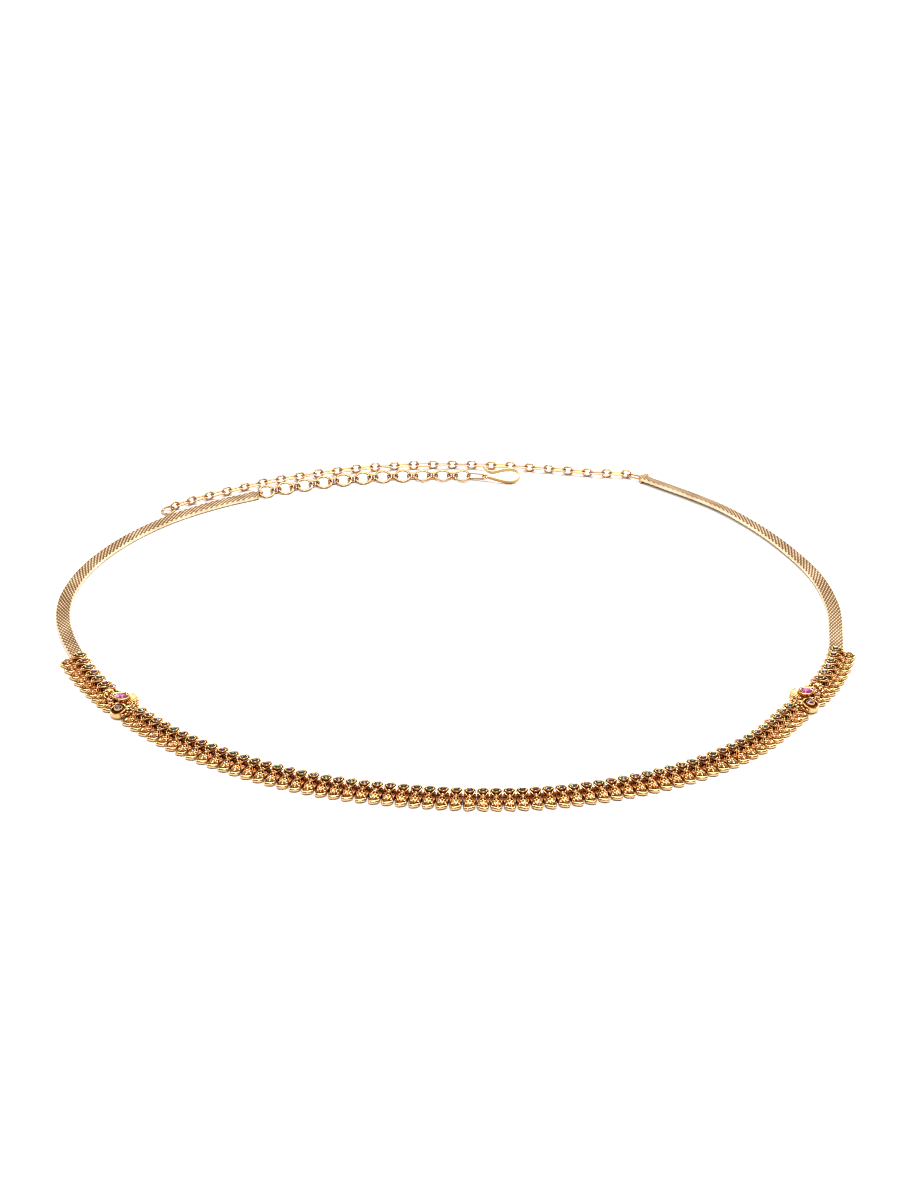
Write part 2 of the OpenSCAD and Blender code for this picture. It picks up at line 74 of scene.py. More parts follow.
# Plan of the belt's middle line, from the left band's back end round the front to the right one's
BELT_PLAN = [
    (-87, 115), (-104, 106), (-121, 94), (-136, 79), (-148, 62), (-157, 43), (-162, 22),
    (-162, 3), (-158, -15), (-151, -33), (-142, -51), (-128, -71), (-105, -95), (-79, -113),
    (-51, -126), (-22, -133), (10, -136.5), (38, -135), (66, -128), (93, -116), (116.5, -98),
    (132, -77.5), (148, -54), (157, -31), (160, -10), (161, 12), (157, 37), (147, 62),
    (133.8, 84.9), (117, 105.8), (89, 130),
]
MIDDLE_POINT = 16
RING_PLAN = [(-83, 117), (-57, 126.5), (-30, 132), (-3, 133.2), (8, 132.6), (23, 128.8)]
CHAIN_PLAN = [
    (80.5, 134), (64, 135.5), (46, 139), (28, 142), (8, 143.5), (-12, 143.5), (-35, 141),
    (-52, 137), (-69, 131.5), (-84, 125.5), (-99, 117.5), (-115, 108), (-128, 98),
]
PLAN_STEPS = 8

# The row: distances are counted outwards from the middle of the front
PITCH = {LEFT: 5.04, RIGHT: 4.94}
END_PITCH = {LEFT: 5.25, RIGHT: 4.94}
MIDDLE_UNITS = 30
END_UNITS = 6
MOTIF_FRONT_GAP = 13.6
MOTIF_BACK_GAP = 12.7
BAND_FROM_LAST_UNIT = 2.35
LEFT_BAND_SHORT = 1.2
PLAY = 0.1


# Plans and places

class Track:
    """A smooth plan as places and headings against the distance along it."""

    def __init__(self, plan):
        points = [Vector(p) for p in plan]
        points = [2 * points[0] - points[1], *points, 2 * points[-1] - points[-2]]
        self.path = []
        for a, b, c, d in zip(points, points[1:], points[2:], points[3:]):
            for k in range(PLAN_STEPS):
                t = k / PLAN_STEPS
                self.path.append(0.5 * (2 * b + (c - a) * t + (2 * a - 5 * b + 4 * c - d) * t * t
                                        + (3 * b - a - 3 * c + d) * t ** 3))
        self.path.append(points[-2])
        self.run = [0.0]
        for a, b in zip(self.path, self.path[1:]):
            self.run.append(self.run[-1] + (b - a).length)

    def at(self, s):
        s = min(max(s, 0.0), self.run[-1])
        k = min(self.find(s), len(self.path) - 2)
        share = (s - self.run[k]) / (self.run[k + 1] - self.run[k])
        return self.path[k].lerp(self.path[k + 1], share)

    def find(self, s):
        low, high = 0, len(self.run) - 1
        while high - low > 1:
            mid = (low + high) // 2
            if self.run[mid] <= s:
                low = mid
            else:
                high = mid
        return low

    def heading(self, s):
        d = self.at(s + 0.5) - self.at(s - 0.5)
        return math.atan2(d.y, d.x)

    def place(self, s, z=0.0):
        p = self.at(s)
        return Matrix.Translation((p.x, p.y, z)) @ Matrix.Rotation(self.heading(s), 4, "Z")


belt = Track(BELT_PLAN)
rings = Track(RING_PLAN)
chain = Track(CHAIN_PLAN)
middle_s = belt.run[MIDDLE_POINT * PLAN_STEPS]


def motif_s(side):
    return (MIDDLE_UNITS - 0.5) * PITCH[side] + MOTIF_FRONT_GAP


def unit_places(side):
    """Distances of all the strung units of one side from the middle of the front."""
    first = motif_s(side) + MOTIF_BACK_GAP
    return ([(i + 0.5) * PITCH[side] for i in range(MIDDLE_UNITS)]
            + [first + i * END_PITCH[side] for i in range(END_UNITS)])


def on_belt(side, s):
    """+X along the row towards that side's end, +Y into the loop, +Z up."""
    return belt.place(middle_s + side * s) @ Matrix.Diagonal((side, 1, 1, 1))


def row_end(side):
    return unit_places(side)[-1] + BAND_FROM_LAST_UNIT


def band_end(side):
    return middle_s - LEFT_BAND_SHORT if side == LEFT else belt.run[-1] - middle_s


# Shaping

def new_shape():
    bm = bmesh.new()
    bm.verts.layers.float.new("recess")
    return bm


def as_mesh(bm, name):
    mesh = bpy.data.meshes.new(name)
    bm.to_mesh(mesh)
    bm.free()
    return mesh


def put(bm, shape, matrix):
    """Adds a copy of a small finished shape, right side out where the matrix mirrors it."""
    copy = shape.copy()
    copy.transform(matrix)
    if matrix.determinant() < 0:
        copy.flip_normals()
    bm.from_mesh(copy)
    bpy.data.meshes.remove(copy)


def mark_shade_and_patina(bm, amount):
    """Marks points to be coloured darker: painted shade in hollows and between parts, with the old
    plating's patina.
    """
    layer = bm.verts.layers.float["recess"]
    for v in bm.verts:
        v[layer] = max(v[layer], amount)


def add(bm, part, matrix, dark=0.0):
    """Closes a part's seams, turns it outwards and solders it to a shape."""
    bmesh.ops.remove_doubles(part, verts=part.verts, dist=1e-4)
    bmesh.ops.recalc_face_normals(part, faces=part.faces)
    mark_shade_and_patina(part, dark)
    mesh = as_mesh(part, "part")
    put(bm, mesh, matrix)
    bpy.data.meshes.remove(mesh)


def spun(profile, steps):
    """A profile of (radius, height) points turned round Z; a third number marks painted shade."""
    part = new_shape()
    layer = part.verts.layers.float["recess"]
    points = [part.verts.new((p[0], 0, p[1])) for p in profile]
    for v, p in zip(points, profile):
        v[layer] = p[2] if len(p) > 2 else 0.0
    edges = [part.edges.new(pair) for pair in zip(points, points[1:])]
    bmesh.ops.spin(part, geom=points + edges, cent=(0, 0, 0), axis=(0, 0, 1), angle=math.tau,
                   steps=steps, use_merge=True)
    return part


def turned(bm, profile, steps, matrix=Matrix.Identity(4), dark=0.0):
    add(bm, spun(profile, steps), matrix, dark)


def frames_along(points, closed=False, widths=None):
    """Upright frames through the points of a path, with X along it; widths scale the section."""
    points = [Vector(p).to_3d() for p in points]
    n = len(points)
    found = []
    for i, p in enumerate(points):
        before = points[i - 1] if i or closed else p
        after = points[(i + 1) % n] if i < n - 1 or closed else p
        x = (after - before).normalized()
        y = Vector((0, 0, 1)).cross(x).normalized()
        m = Matrix((x, y, x.cross(y))).transposed().to_4x4()
        m.translation = p
        found.append(m @ Matrix.Scale(widths[i] if widths else 1, 4))
    return found + [found[0]] if closed else found


def swept(bm, section, frames, matrix=Matrix.Identity(4), dark=0.0):
    """A section of (across, up) points carried through the frames, with its ends closed."""
    part = new_shape()
    ring = [part.verts.new(frames[0] @ Vector((0, a, u))) for a, u in section]
    edges = [part.edges.new((ring[k - 1], ring[k])) for k in range(len(ring))]
    closed = (frames[0].translation - frames[-1].translation).length < 1e-6
    if not closed:
        part.faces.new(ring)
    for before, after in zip(frames, frames[1:]):
        made = bmesh.ops.extrude_edge_only(part, edges=edges)["geom"]
        points = {g for g in made if isinstance(g, bmesh.types.BMVert)}
        bmesh.ops.transform(part, matrix=after @ before.inverted(), verts=list(points))
        edges = [g for g in made
                 if isinstance(g, bmesh.types.BMEdge) and points.issuperset(g.verts)]
    if not closed:
        bmesh.ops.edgeloop_fill(part, edges=edges)
    add(bm, part, matrix, dark)


def round_section(r, sides, squash=1.0):
    turns = [math.tau * (k + 0.5) / sides for k in range(sides)]
    return [(r * math.cos(a), r * squash * math.sin(a)) for a in turns]


def raised(outline, low, high):
    """A plain plate of any outline, and the points of its upper face."""
    part = new_shape()
    face = part.faces.new([part.verts.new((*p, low)) for p in outline])
    made = bmesh.ops.extrude_face_region(part, geom=[face], use_keep_orig=True)["geom"]
    top = {g for g in made if isinstance(g, bmesh.types.BMVert)}
    bmesh.ops.translate(part, vec=(0, 0, high - low), verts=list(top))
    return part, top


def round_off(part, edges, offset, segments):
    bmesh.ops.bevel(part, geom=edges, offset=offset, offset_type="OFFSET", segments=segments,
                    profile=0.5, affect="EDGES", material=-1, clamp_overlap=True)


def slab(bm, outline, low, high, soften=0.0, matrix=Matrix.Identity(4), dark=0.0):
    """A plate of any outline, with its upper edge rounded off."""
    part, top = raised(outline, low, high)
    if soften:
        round_off(part, [e for e in part.edges if top.issuperset(e.verts)], soften, 2)
    add(bm, part, matrix, dark)


def rolled_plate(bm, outline, high, roll, trough, matrix):
    """A plate with its whole edge rolled round, and a trough inside the edge, painted with shade.
    """
    part, top = raised(outline, 0, high)
    round_off(part, [e for e in part.edges if len(top.intersection(e.verts)) != 1], roll, 3)
    lid = max(part.faces, key=lambda f: f.calc_center_median().z)
    bmesh.ops.inset_region(part, faces=[lid], thickness=0.14, depth=-trough)
    # The trough's floor is marked for painted shade
    layer = part.verts.layers.float["recess"]
    for v in lid.verts:
        v[layer] = 0.7
    add(bm, part, matrix)


def ball(bm, r, at, dark=0.0, detail=2):
    part = new_shape()
    bmesh.ops.create_icosphere(part, subdivisions=detail, radius=r)
    add(bm, part, Matrix.Translation(at), dark)


def wire_ring(bm, r, wire, steps, sides, matrix, stretch=0.0, squash=1.0):
    """A ring of round wire; a stretch along X makes a link of it."""
    part = new_shape()
    section = [part.verts.new((r + a, 0, u)) for a, u in round_section(wire / 2, sides, squash)]
    edges = [part.edges.new((section[k - 1], section[k])) for k in range(sides)]
    bmesh.ops.rotate(part, cent=(0, 0, 0), matrix=Matrix.Rotation(math.pi / steps, 3, "Z"),
                     verts=section)
    bmesh.ops.spin(part, geom=section + edges, cent=(0, 0, 0), axis=(0, 0, 1), angle=math.tau,
                   steps=steps, use_merge=True)
    for v in part.verts:
        v.co.x += math.copysign(stretch / 2, v.co.x)
    add(bm, part, matrix)


def link(bm, length, width, wire, matrix, thick=None):
    """A long link; its wire can be thicker or thinner at right angles to the link's plane."""
    wire_ring(bm, (width - wire) / 2, wire, 24, 10, matrix, stretch=length - width,
              squash=(thick or wire) / wire)


def arc(r, start, end, steps, at=(0, 0)):
    turns = [math.radians(start + (end - start) * i / steps) for i in range(steps + 1)]
    return [(at[0] + r * math.cos(a), at[1] + r * math.sin(a)) for a in turns]


def pear(r, tip, tip_r, steps, tip_steps):
    """Outline with its round end at the origin and its point at -Y."""
    d = tip - tip_r
    turn = math.degrees(math.acos((r - tip_r) / d))
    return (arc(r, turn - 90, 270 - turn, steps)
            + arc(tip_r, 270 - turn, 270 + turn, tip_steps, at=(0, -d)))


def moved(outline, angle):
    c, s = math.cos(math.radians(angle)), math.sin(math.radians(angle))
    return [(x * c - y * s, x * s + y * c) for x, y in outline]


def finish_piece(bm, name, finish, node, sharp=38):
    """Brings a piece to metres, smooths it and puts it on the belt in place of its CAD node."""
    bmesh.ops.scale(bm, vec=(MM, MM, MM), verts=bm.verts)
    mesh = as_mesh(bm, name)
    mesh.shade_smooth()
    mesh.set_sharp_from_angle(angle=math.radians(sharp))
    mesh.materials.append(gold(finish))
    piece = bpy.data.objects.new(name, mesh)
    bpy.context.scene.collection.objects.link(piece)
    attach(piece, "root")
    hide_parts(node)


# Materials

def set_inputs(node, values):
    for name, value in values.items():
        node.inputs[name].default_value = value


def new_node(tree, kind, values=None, **settings):
    """A node named by the end of its type, with its settings and then its inputs' values."""
    node = tree.nodes.new("ShaderNode" + kind)
    for name, value in settings.items():
        setattr(node, name, value)
    set_inputs(node, values or {})
    return node


def new_material(name, values):
    """A material, its node tree and its shader, with the shader's plain inputs set."""
    mat = bpy.data.materials.new(name)
    mat.use_nodes = True
    shader = mat.node_tree.nodes["Principled BSDF"]
    set_inputs(shader, values)
    return mat, mat.node_tree, shader


def wire_up(tree, pairs):
    for (a, out), (b, into) in pairs:
        tree.links.new(a.outputs[out], b.inputs[into])


def painted_shade_plating_group():
    """Colour, roughness and surface of old gold plate: pale where open, and brown with painted
    shade and patina where marked or shut in.
    """
    if "plating_with_painted_shade" in bpy.data.node_groups:
        return bpy.data.node_groups["plating_with_painted_shade"]
    tree = bpy.data.node_groups.new("plating_with_painted_shade", "ShaderNodeTree")
    for name, default in (("Light", (0.9, 0.62, 0.28, 1)), ("Shaded", (0.45, 0.13, 0.03, 1)),
                          ("Deep", (0.3, 0.1, 0.03, 1)), ("Recess", 0.0), ("Openness", 1.0),
                          ("Patch Scale", 220.0), ("Grain Scale", 2600.0), ("Smoothness", 0.5)):
        kind = "Float" if isinstance(default, float) else "Color"
        made = tree.interface.new_socket(name, in_out="INPUT", socket_type="NodeSocket" + kind)
        made.default_value = default
    for name, kind in (("Color", "Color"), ("Roughness", "Float"), ("Height", "Float")):
        tree.interface.new_socket(name, in_out="OUTPUT", socket_type="NodeSocket" + kind)
    ins, outs = tree.nodes.new("NodeGroupInput"), tree.nodes.new("NodeGroupOutput")
    place = new_node(tree, "TexCoord")
    patch = new_node(tree, "TexNoise", {"Detail": 3})
    grain = new_node(tree, "TexNoise", {"Detail": 2})
    # Painted shade mask: what is marked, and what other metal shuts in, from ambient occlusion
    shut = new_node(tree, "MapRange", {"From Min": 0.75, "From Max": 0.0})
    mask = new_node(tree, "Math", operation="MAXIMUM")
    uneven = new_node(tree, "MapRange", {"From Min": 0.35, "From Max": 0.7, "To Min": 0.75,
                                         "To Max": 1.1})
    shade_share = new_node(tree, "Math", operation="MULTIPLY", use_clamp=True)
    warm = new_node(tree, "Mix", {7: (0.52, 0.26, 0.07, 1)}, data_type="RGBA")
    warm_share = new_node(tree, "MapRange", {"From Min": 0.4, "From Max": 0.75, "To Max": 0.55})
    half_way = new_node(tree, "MapRange", {"From Max": 0.55})
    depth = new_node(tree, "MapRange", {"From Min": 0.5})
    shaded = new_node(tree, "Mix", data_type="RGBA")
    colour = new_node(tree, "Mix", data_type="RGBA")
    rough = new_node(tree, "MapRange", {"To Min": 0.0, "To Max": 0.35})
    base_rough = new_node(tree, "Math", {0: 0.8}, operation="SUBTRACT")
    total = new_node(tree, "Math", operation="ADD", use_clamp=True)
    wire_up(tree, [
        ((place, "Object"), (patch, "Vector")), ((place, "Object"), (grain, "Vector")),
        ((ins, "Patch Scale"), (patch, "Scale")), ((ins, "Grain Scale"), (grain, "Scale")),
        ((ins, "Openness"), (shut, "Value")), ((shut, "Result"), (mask, 0)),
        ((ins, "Recess"), (mask, 1)), ((patch, "Fac"), (uneven, "Value")),
        ((mask, 0), (shade_share, 0)), ((uneven, "Result"), (shade_share, 1)),
        ((patch, "Fac"), (warm_share, "Value")), ((warm_share, "Result"), (warm, 0)),
        ((ins, "Light"), (warm, 6)), ((warm, 2), (shaded, 6)), ((ins, "Shaded"), (shaded, 7)),
        ((shade_share, 0), (half_way, "Value")), ((half_way, "Result"), (shaded, 0)),
        ((shaded, 2), (colour, 6)), ((ins, "Deep"), (colour, 7)),
        ((shade_share, 0), (depth, "Value")), ((depth, "Result"), (colour, 0)),
        ((shade_share, 0), (rough, "Value")),
        ((ins, "Smoothness"), (base_rough, 1)), ((base_rough, 0), (total, 0)),
        ((rough, "Result"), (total, 1)), ((colour, 2), (outs, "Color")),
        ((total, 0), (outs, "Roughness")), ((grain, "Fac"), (outs, "Height")),
    ])
    return tree


# Colours of open, shaded and deep faces, the shaded and deep ones painted shade, smoothness, bump,
# reach in millimetres of the painted shade round close metal, scale of the patches, and wear
FINISHES = {
    "row_gold": ("gold_light", "gold_shaded", "gold_deep", 0.56, 0.12, 1.2, 220.0, 0.0),
    "weave_gold": ("weave_light", "weave_shaded", "weave_deep", 0.45, 0.1, 0.5, 90.0, 0.72),
    "chain_gold": ("chain_light", "gold_shaded", "gold_deep", 0.55, 0.1, 2.6, 150.0, 0.3),
    "hook_gold": ("chain_light", "gold_shaded", "gold_deep", 0.58, 0.06, 1.6, 110.0, 0.3),
    "wire_gold": ("gold_shaded", "gold_shaded", "gold_deep", 0.45, 0.1, 1.2, 220.0, 0.0),
}


def gold(name):
    """A gold-plate material; worn plate is rubbed matt and has less of a metal's shine."""
    if name in bpy.data.materials:
        return bpy.data.materials[name]
    colours = bpy.context.scene.waist_belt_colours
    *tones, smoothness, bump, shut_in, patch, worn = FINISHES[name]
    light, shaded, deep = [(*getattr(colours, tone), 1) for tone in tones]
    mat, tree, metal = new_material(name, {
        "Metallic": 1.0 - worn, "Specular Tint": (1.0, 0.86, 0.6, 1), "Coat Weight": 0.15,
        "Coat Roughness": 0.22})
    look = new_node(tree, "Group", node_tree=painted_shade_plating_group())
    set_inputs(look, {"Light": light, "Shaded": shaded, "Deep": deep, "Smoothness": smoothness,
                      "Patch Scale": patch})
    recess = new_node(tree, "Attribute", attribute_name="recess")
    # Ambient occlusion paints shade into the colour where other metal is near
    open_sky = new_node(tree, "AmbientOcclusion", {"Distance": shut_in * MM}, samples=8)
    surface = new_node(tree, "Bump", {"Strength": bump, "Distance": 0.0002})
    wire_up(tree, [
        ((recess, "Fac"), (look, "Recess")), ((open_sky, "AO"), (look, "Openness")),
        ((look, "Color"), (metal, "Base Color")), ((look, "Roughness"), (metal, "Roughness")),
        ((look, "Height"), (surface, "Height")), ((surface, "Normal"), (metal, "Normal")),
    ])
    return mat


def foiled_glass(name, deep, light, scale=420.0):
    """Cut glass with foil behind it: deep colour, with painted lighter flashes, strongest on the
    facets that face up.
    """
    if name in bpy.data.materials:
        return bpy.data.materials[name]
    mat, tree, glass = new_material(name, {
        "Roughness": 0.06, "IOR": 1.65, "Coat Weight": 0.6, "Coat Roughness": 0.03})
    place = new_node(tree, "TexCoord")
    cells = new_node(tree, "TexVoronoi", {"Scale": scale})
    painted_flash = new_node(tree, "MapRange", {"From Min": 0.6, "From Max": 0.1})
    face = new_node(tree, "NewGeometry")
    lie = new_node(tree, "SeparateXYZ")
    table = new_node(tree, "MapRange", {"From Min": 0.8, "From Max": 0.99, "To Min": 0.08})
    share = new_node(tree, "Math", operation="MULTIPLY")
    mix = new_node(tree, "Mix", {6: deep, 7: light}, data_type="RGBA")
    wire_up(tree, [
        ((place, "Object"), (cells, "Vector")), ((cells, "Distance"), (painted_flash, "Value")),
        ((face, "True Normal"), (lie, "Vector")), ((lie, "Z"), (table, "Value")),
        ((painted_flash, "Result"), (share, 0)), ((table, "Result"), (share, 1)),
        ((share, "Value"), (mix, 0)), ((mix, 2), (glass, "Base Color")),
    ])
    return mat


def repaint(node, material):
    """Gives a CAD node that stays in view its finish."""
    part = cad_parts[node]
    part.data.materials.clear()
    part.data.materials.append(material)


# Shapes of the row

ROW_DROP_R = 2.3
MOTIF_DROP_R = 1.95
DROP_AT = (0, -5.9)


def drop_shape(bm, r):
    """Mango drop: plate with a rolled edge, ridged dome, lobed head and a small ball at the tip
    painted dark for the shade of a piercing.
    """
    tip = Vector((0.75, -1.45))
    turn = math.degrees(math.atan2(tip.x, -tip.y))
    reach = tip.length + 1.2
    k = r / ROW_DROP_R
    here = Matrix.Translation((*DROP_AT, 0))
    rolled_plate(bm, moved(pear(r, reach, 1.2, 18, 7), turn), 1.6, 0.66, 0.14, here)
    # The dome's third numbers paint shade, darkest where it rises from the plate
    dome = [(1.6, 1.1, 1), (1.62, 1.55, 0.85), (1.44, 2.05, 0.6), (1.04, 2.45, 0.4),
            (0.52, 2.7, 0.3), (0, 2.78, 0.3)]
    lean = Matrix.Translation((0.05, 0.15, 0)) @ Matrix.Rotation(math.radians(turn), 4, "Z")
    turned(bm, [(0, 1.1, 1), *[(p[0] * k, *p[1:]) for p in dome]], 16,
           here @ lean @ Matrix.Diagonal((0.94, 1.06, 1, 1)))
    ridges = [
        ([(0.2, 1.2, 2.4), (0.32, 0.5, 2.83), (0.4, -0.3, 2.74), (0.42, -1.1, 2.2),
          (0.5, -1.6, 1.6)], [0.9, 1.3, 1.4, 1.2, 0.8]),
        ([(-0.6, 1.1, 2.3), (-0.75, 0.3, 2.58), (-0.6, -0.6, 2.45), (-0.2, -1.3, 1.9)],
         [0.9, 1.2, 1.2, 0.8]),
        ([(1.1, 0.9, 2.15), (1.3, 0.0, 2.2), (1.2, -0.8, 2.0)], [0.8, 1.1, 0.8]),
        ([(-1.3, 0.9, 2.0), (-1.5, 0.1, 2.0), (-1.3, -0.7, 1.9)], [0.8, 1.1, 0.8]),
    ]
    for path, size in ridges:
        swept(bm, round_section(0.27, 8), frames_along([(x * k, y * k, z) for x, y, z in path],
                                                      widths=size), matrix=here)
    # The head's neck is painted with shade
    turned(bm, [(0, 1.0), (r / 2, 1.0), (r / 2, 1.9, 0.6), (r / 2 - 0.25, 2.1, 0.6), (0, 2.1)], 12,
           here @ Matrix.Translation((0, 1.75, 0)), dark=0.2)
    for x, y, z, size in [(-0.8, 1.5, 2.05, 0.56), (0, 1.95, 2.2, 0.62), (0.8, 1.5, 2.05, 0.56)]:
        ball(bm, size, (DROP_AT[0] + x * k, DROP_AT[1] + y, z))
    # A small ball painted fully dark as the shade inside the tip's piercing
    ball(bm, 0.27, (DROP_AT[0] + 0.62, DROP_AT[1] - 1.95 * k, 1.42), dark=1.0, detail=1)


def unit_shape():
    """A strung unit: cup and bezel, rim, granules, base, post and drop, soldered together."""
    bm = new_shape()
    # The cup's third numbers paint shade on its lower wall and inside the bezel's seat
    turned(bm, [(0, 0.1), (1.1, 0.1), (1.45, 2.7, 0.8), (1.6, 3.2, 1), (1.62, 3.65, 0.8),
                (1.6, 3.9, 0.3), (1.66, 4.05), (1.7, 4.3), (1.64, 4.48), (1.5, 4.6), (1.32, 4.58),
                (1.18, 4.46), (1.16, 4.1, 1), (0.5, 3.4, 1), (0, 3.35, 1)], 22)
    rim = [(-0.2, 0), (0.22, 0), (0.26, 0.4), (0.16, 0.58), (-0.04, 0.64), (-0.2, 0.5),
           (-0.25, 0.3)]
    swept(bm, rim, frames_along([(x, y, 3.41) for x, y in pear(2.1, 3.25, 1.4, 22, 8)],
                                closed=True))
    # The plate under the rim and the foot of the ear behind the bezel are painted with shade
    slab(bm, pear(1.95, 3.1, 1.25, 14, 5), 3.15, 3.35, dark=0.75)
    ball(bm, 0.62, (0, -3.35, 3.05))
    ball(bm, 0.42, (0, -2.45, 3.55))
    ear = Matrix.Translation((0, 2.05, 3.3)) @ Matrix.Diagonal((1.25, 0.85, 1, 1))
    turned(bm, [(0, 0), (0.95, 0, 0.5), (1.0, 0.3), (0.85, 0.55), (0.5, 0.66), (0, 0.7)], 14, ear)
    for x, y, r in [(0, 2.75, 0.45), (-1.15, 2.15, 0.42), (1.15, 2.15, 0.42)]:
        ball(bm, r, (x, y, 3.35))
    # The base, the upper plate, the tube, the wings and the struts between the units are painted
    # with shade, the post only a little
    slab(bm, [(-2.44, -0.7), (-2.44, -3.7), (-2.1, -4.5), (2.1, -4.5), (2.44, -3.7), (2.44, -0.7)],
         0.35, 2.0, 0.15, dark=0.3)
    slab(bm, [(-2.4, -0.7), (-2.4, -2.0), (2.4, -2.0), (2.4, -0.7)], 1.8, 3.1, 0.15, dark=0.75)
    turned(bm, [(0.42, -2.15), (0.85, -2.1, 0.7), (0.85, 2.1, 0.7), (0.42, 2.15), (0.42, -2.15)],
           10, Matrix.Translation((0, 0, 1.2)) @ Matrix.Rotation(math.pi / 2, 4, "Y"), dark=0.7)
    for side in (-1, 1):
        turned(bm, [(0, 1.9, 0.5), (0.8, 1.9, 0.6), (0.35, 2.6, 0.3), (0, 2.75, 0.25)], 4,
               Matrix.Translation((1.5 * side, -2.9, 0)))
        swept(bm, round_section(0.3, 8), frames_along([
            (0.4 * side, -3.0, 3.3), (1.0 * side, -3.5, 2.6), (1.6 * side, -4.2, 2.0)]), dark=0.55)
    turned(bm, [(0, 1.5), (0.7, 1.5), (0.6, 3.45), (0, 3.45)], 10,
           Matrix.Translation((0, -2.95, 0)), dark=0.1)
    drop_shape(bm, ROW_DROP_R)
    return as_mesh(bm, "unit_shape")


# Shapes of the peacock motif

TEAR_AT = (0, -0.5)
TEAR_TURN = 57
TEAR_R = 1.9
TEAR_TIP = 3.4
TEAR_TIP_R = 0.9
PENDANT_AT = (-6.2, -5.3)
MOTIF_DROPS = [-0.4, 3.9, 8.2]


def setting_shape(bm, d, wall, base, girdle, at):
    seat = d / 2 + 0.13
    outer = seat + wall
    lip = girdle + 0.3
    here = Matrix.Translation((*at, 0))
    # The seat under the stone is marked for painted shade
    turned(bm, [(0, base), (outer - 0.15, base), (outer, base + 0.3), (outer, lip - 0.2),
                (outer - 0.08, lip - 0.05), (outer - 0.2, lip), (seat + 0.05, lip - 0.05),
                (seat, lip - 0.2), (seat, girdle - 0.15, 1), (0.35, girdle - 0.45 * d - 0.12, 1),
                (0, girdle - 0.45 * d - 0.12, 1)], 22, here)


def tear_setting_shape(bm):
    here = (Matrix.Translation((*TEAR_AT, 0)) @ Matrix.Rotation(math.radians(TEAR_TURN), 4, "Z")
            @ Matrix.Translation((0, 0.9, 0)))
    wall = pear(TEAR_R + 0.54, TEAR_TIP + 0.54, TEAR_TIP_R + 0.54, 24, 10)
    section = [(-0.34, 0), (0.34, 0), (0.36, 1.5), (0.38, 2.1), (0.3, 2.45), (0.08, 2.7),
               (-0.2, 2.8), (-0.48, 2.76), (-0.56, 2.68), (-0.34, 2.55)]
    swept(bm, section, frames_along([(x, y, 2.25) for x, y in wall], closed=True), here)
    # The plate under the teardrop stone is painted fully with shade
    slab(bm, pear(TEAR_R + 0.3, TEAR_TIP + 0.3, TEAR_TIP_R + 0.3, 16, 6), 3.0, 3.42, dark=1.0,
         matrix=here)


def fan_shape(bm):
    """The spread tail: a rounded wedge with nine ribs that end in small beads."""
    centre = Vector((-1.4, 2.2))
    rim_line = arc(3.95, 62, 205, 14, centre)
    # The wedge, and its ribs a little, are painted with shade
    slab(bm, [(-0.4, 3.0), *rim_line, (-3.3, -1.0), (-1.9, 0.2)], 1.95, 3.3, 0.4, dark=0.7)
    hub = centre + Vector((0.5, -0.9))
    for i in range(9):
        a = math.radians(70 + 16 * i)
        start = hub + 1.2 * Vector((math.cos(a), math.sin(a)))
        end = centre + 3.6 * Vector((math.cos(a), math.sin(a)))
        mid = start.lerp(end, 0.55)
        path = [(*start, 3.35), (*start.lerp(end, 0.25), 3.62), (*mid, 3.7), (*end, 3.3)]
        swept(bm, round_section(0.4, 6), frames_along(path, widths=[0.45, 0.7, 0.95, 1.0]),
              dark=0.25)
        ball(bm, 0.42, (*(centre + 3.72 * Vector((math.cos(a), math.sin(a)))), 3.2))


def pendant_shape(bm):
    """A drum whose open top leans outwards, with a small setting inside."""
    here = Matrix.Translation((*PENDANT_AT, 0))
    part = spun([(0, 0), (2.35, 0), (2.9, 0.35), (3.22, 1.0), (3.3, 1.8), (3.3, 5), (2.75, 5),
                 (2.75, 2.1), (0, 2.1)], 32)
    lean = Matrix.Rotation(math.radians(15), 4, "X")
    cut = bmesh.ops.bisect_plane(part, geom=[*part.verts, *part.edges, *part.faces], dist=1e-5,
                                 plane_co=(0, 0, 3.42), plane_no=lean @ Vector((0, 0, 1)),
                                 clear_outer=True)["geom_cut"]
    bmesh.ops.bridge_loops(part, edges=[g for g in cut if isinstance(g, bmesh.types.BMEdge)])
    # The floor inside the drum is painted with shade
    layer = part.verts.layers.float["recess"]
    for v in part.verts:
        if 2.0 < v.co.z < 2.2 and v.co.xy.length < 2.8:
            v[layer] = 1.0
    add(bm, part, here)
    rim = here @ Matrix.Translation((0, 0, 3.4)) @ lean @ Matrix.Diagonal((1, 1.035, 1, 1))
    wire_ring(bm, 3.03, 0.54, 32, 8, rim, squash=0.8)
    setting_shape(bm, 2.3, 0.5, 1.6, 3.65, (PENDANT_AT[0] + 0.3, PENDANT_AT[1] + 0.3))


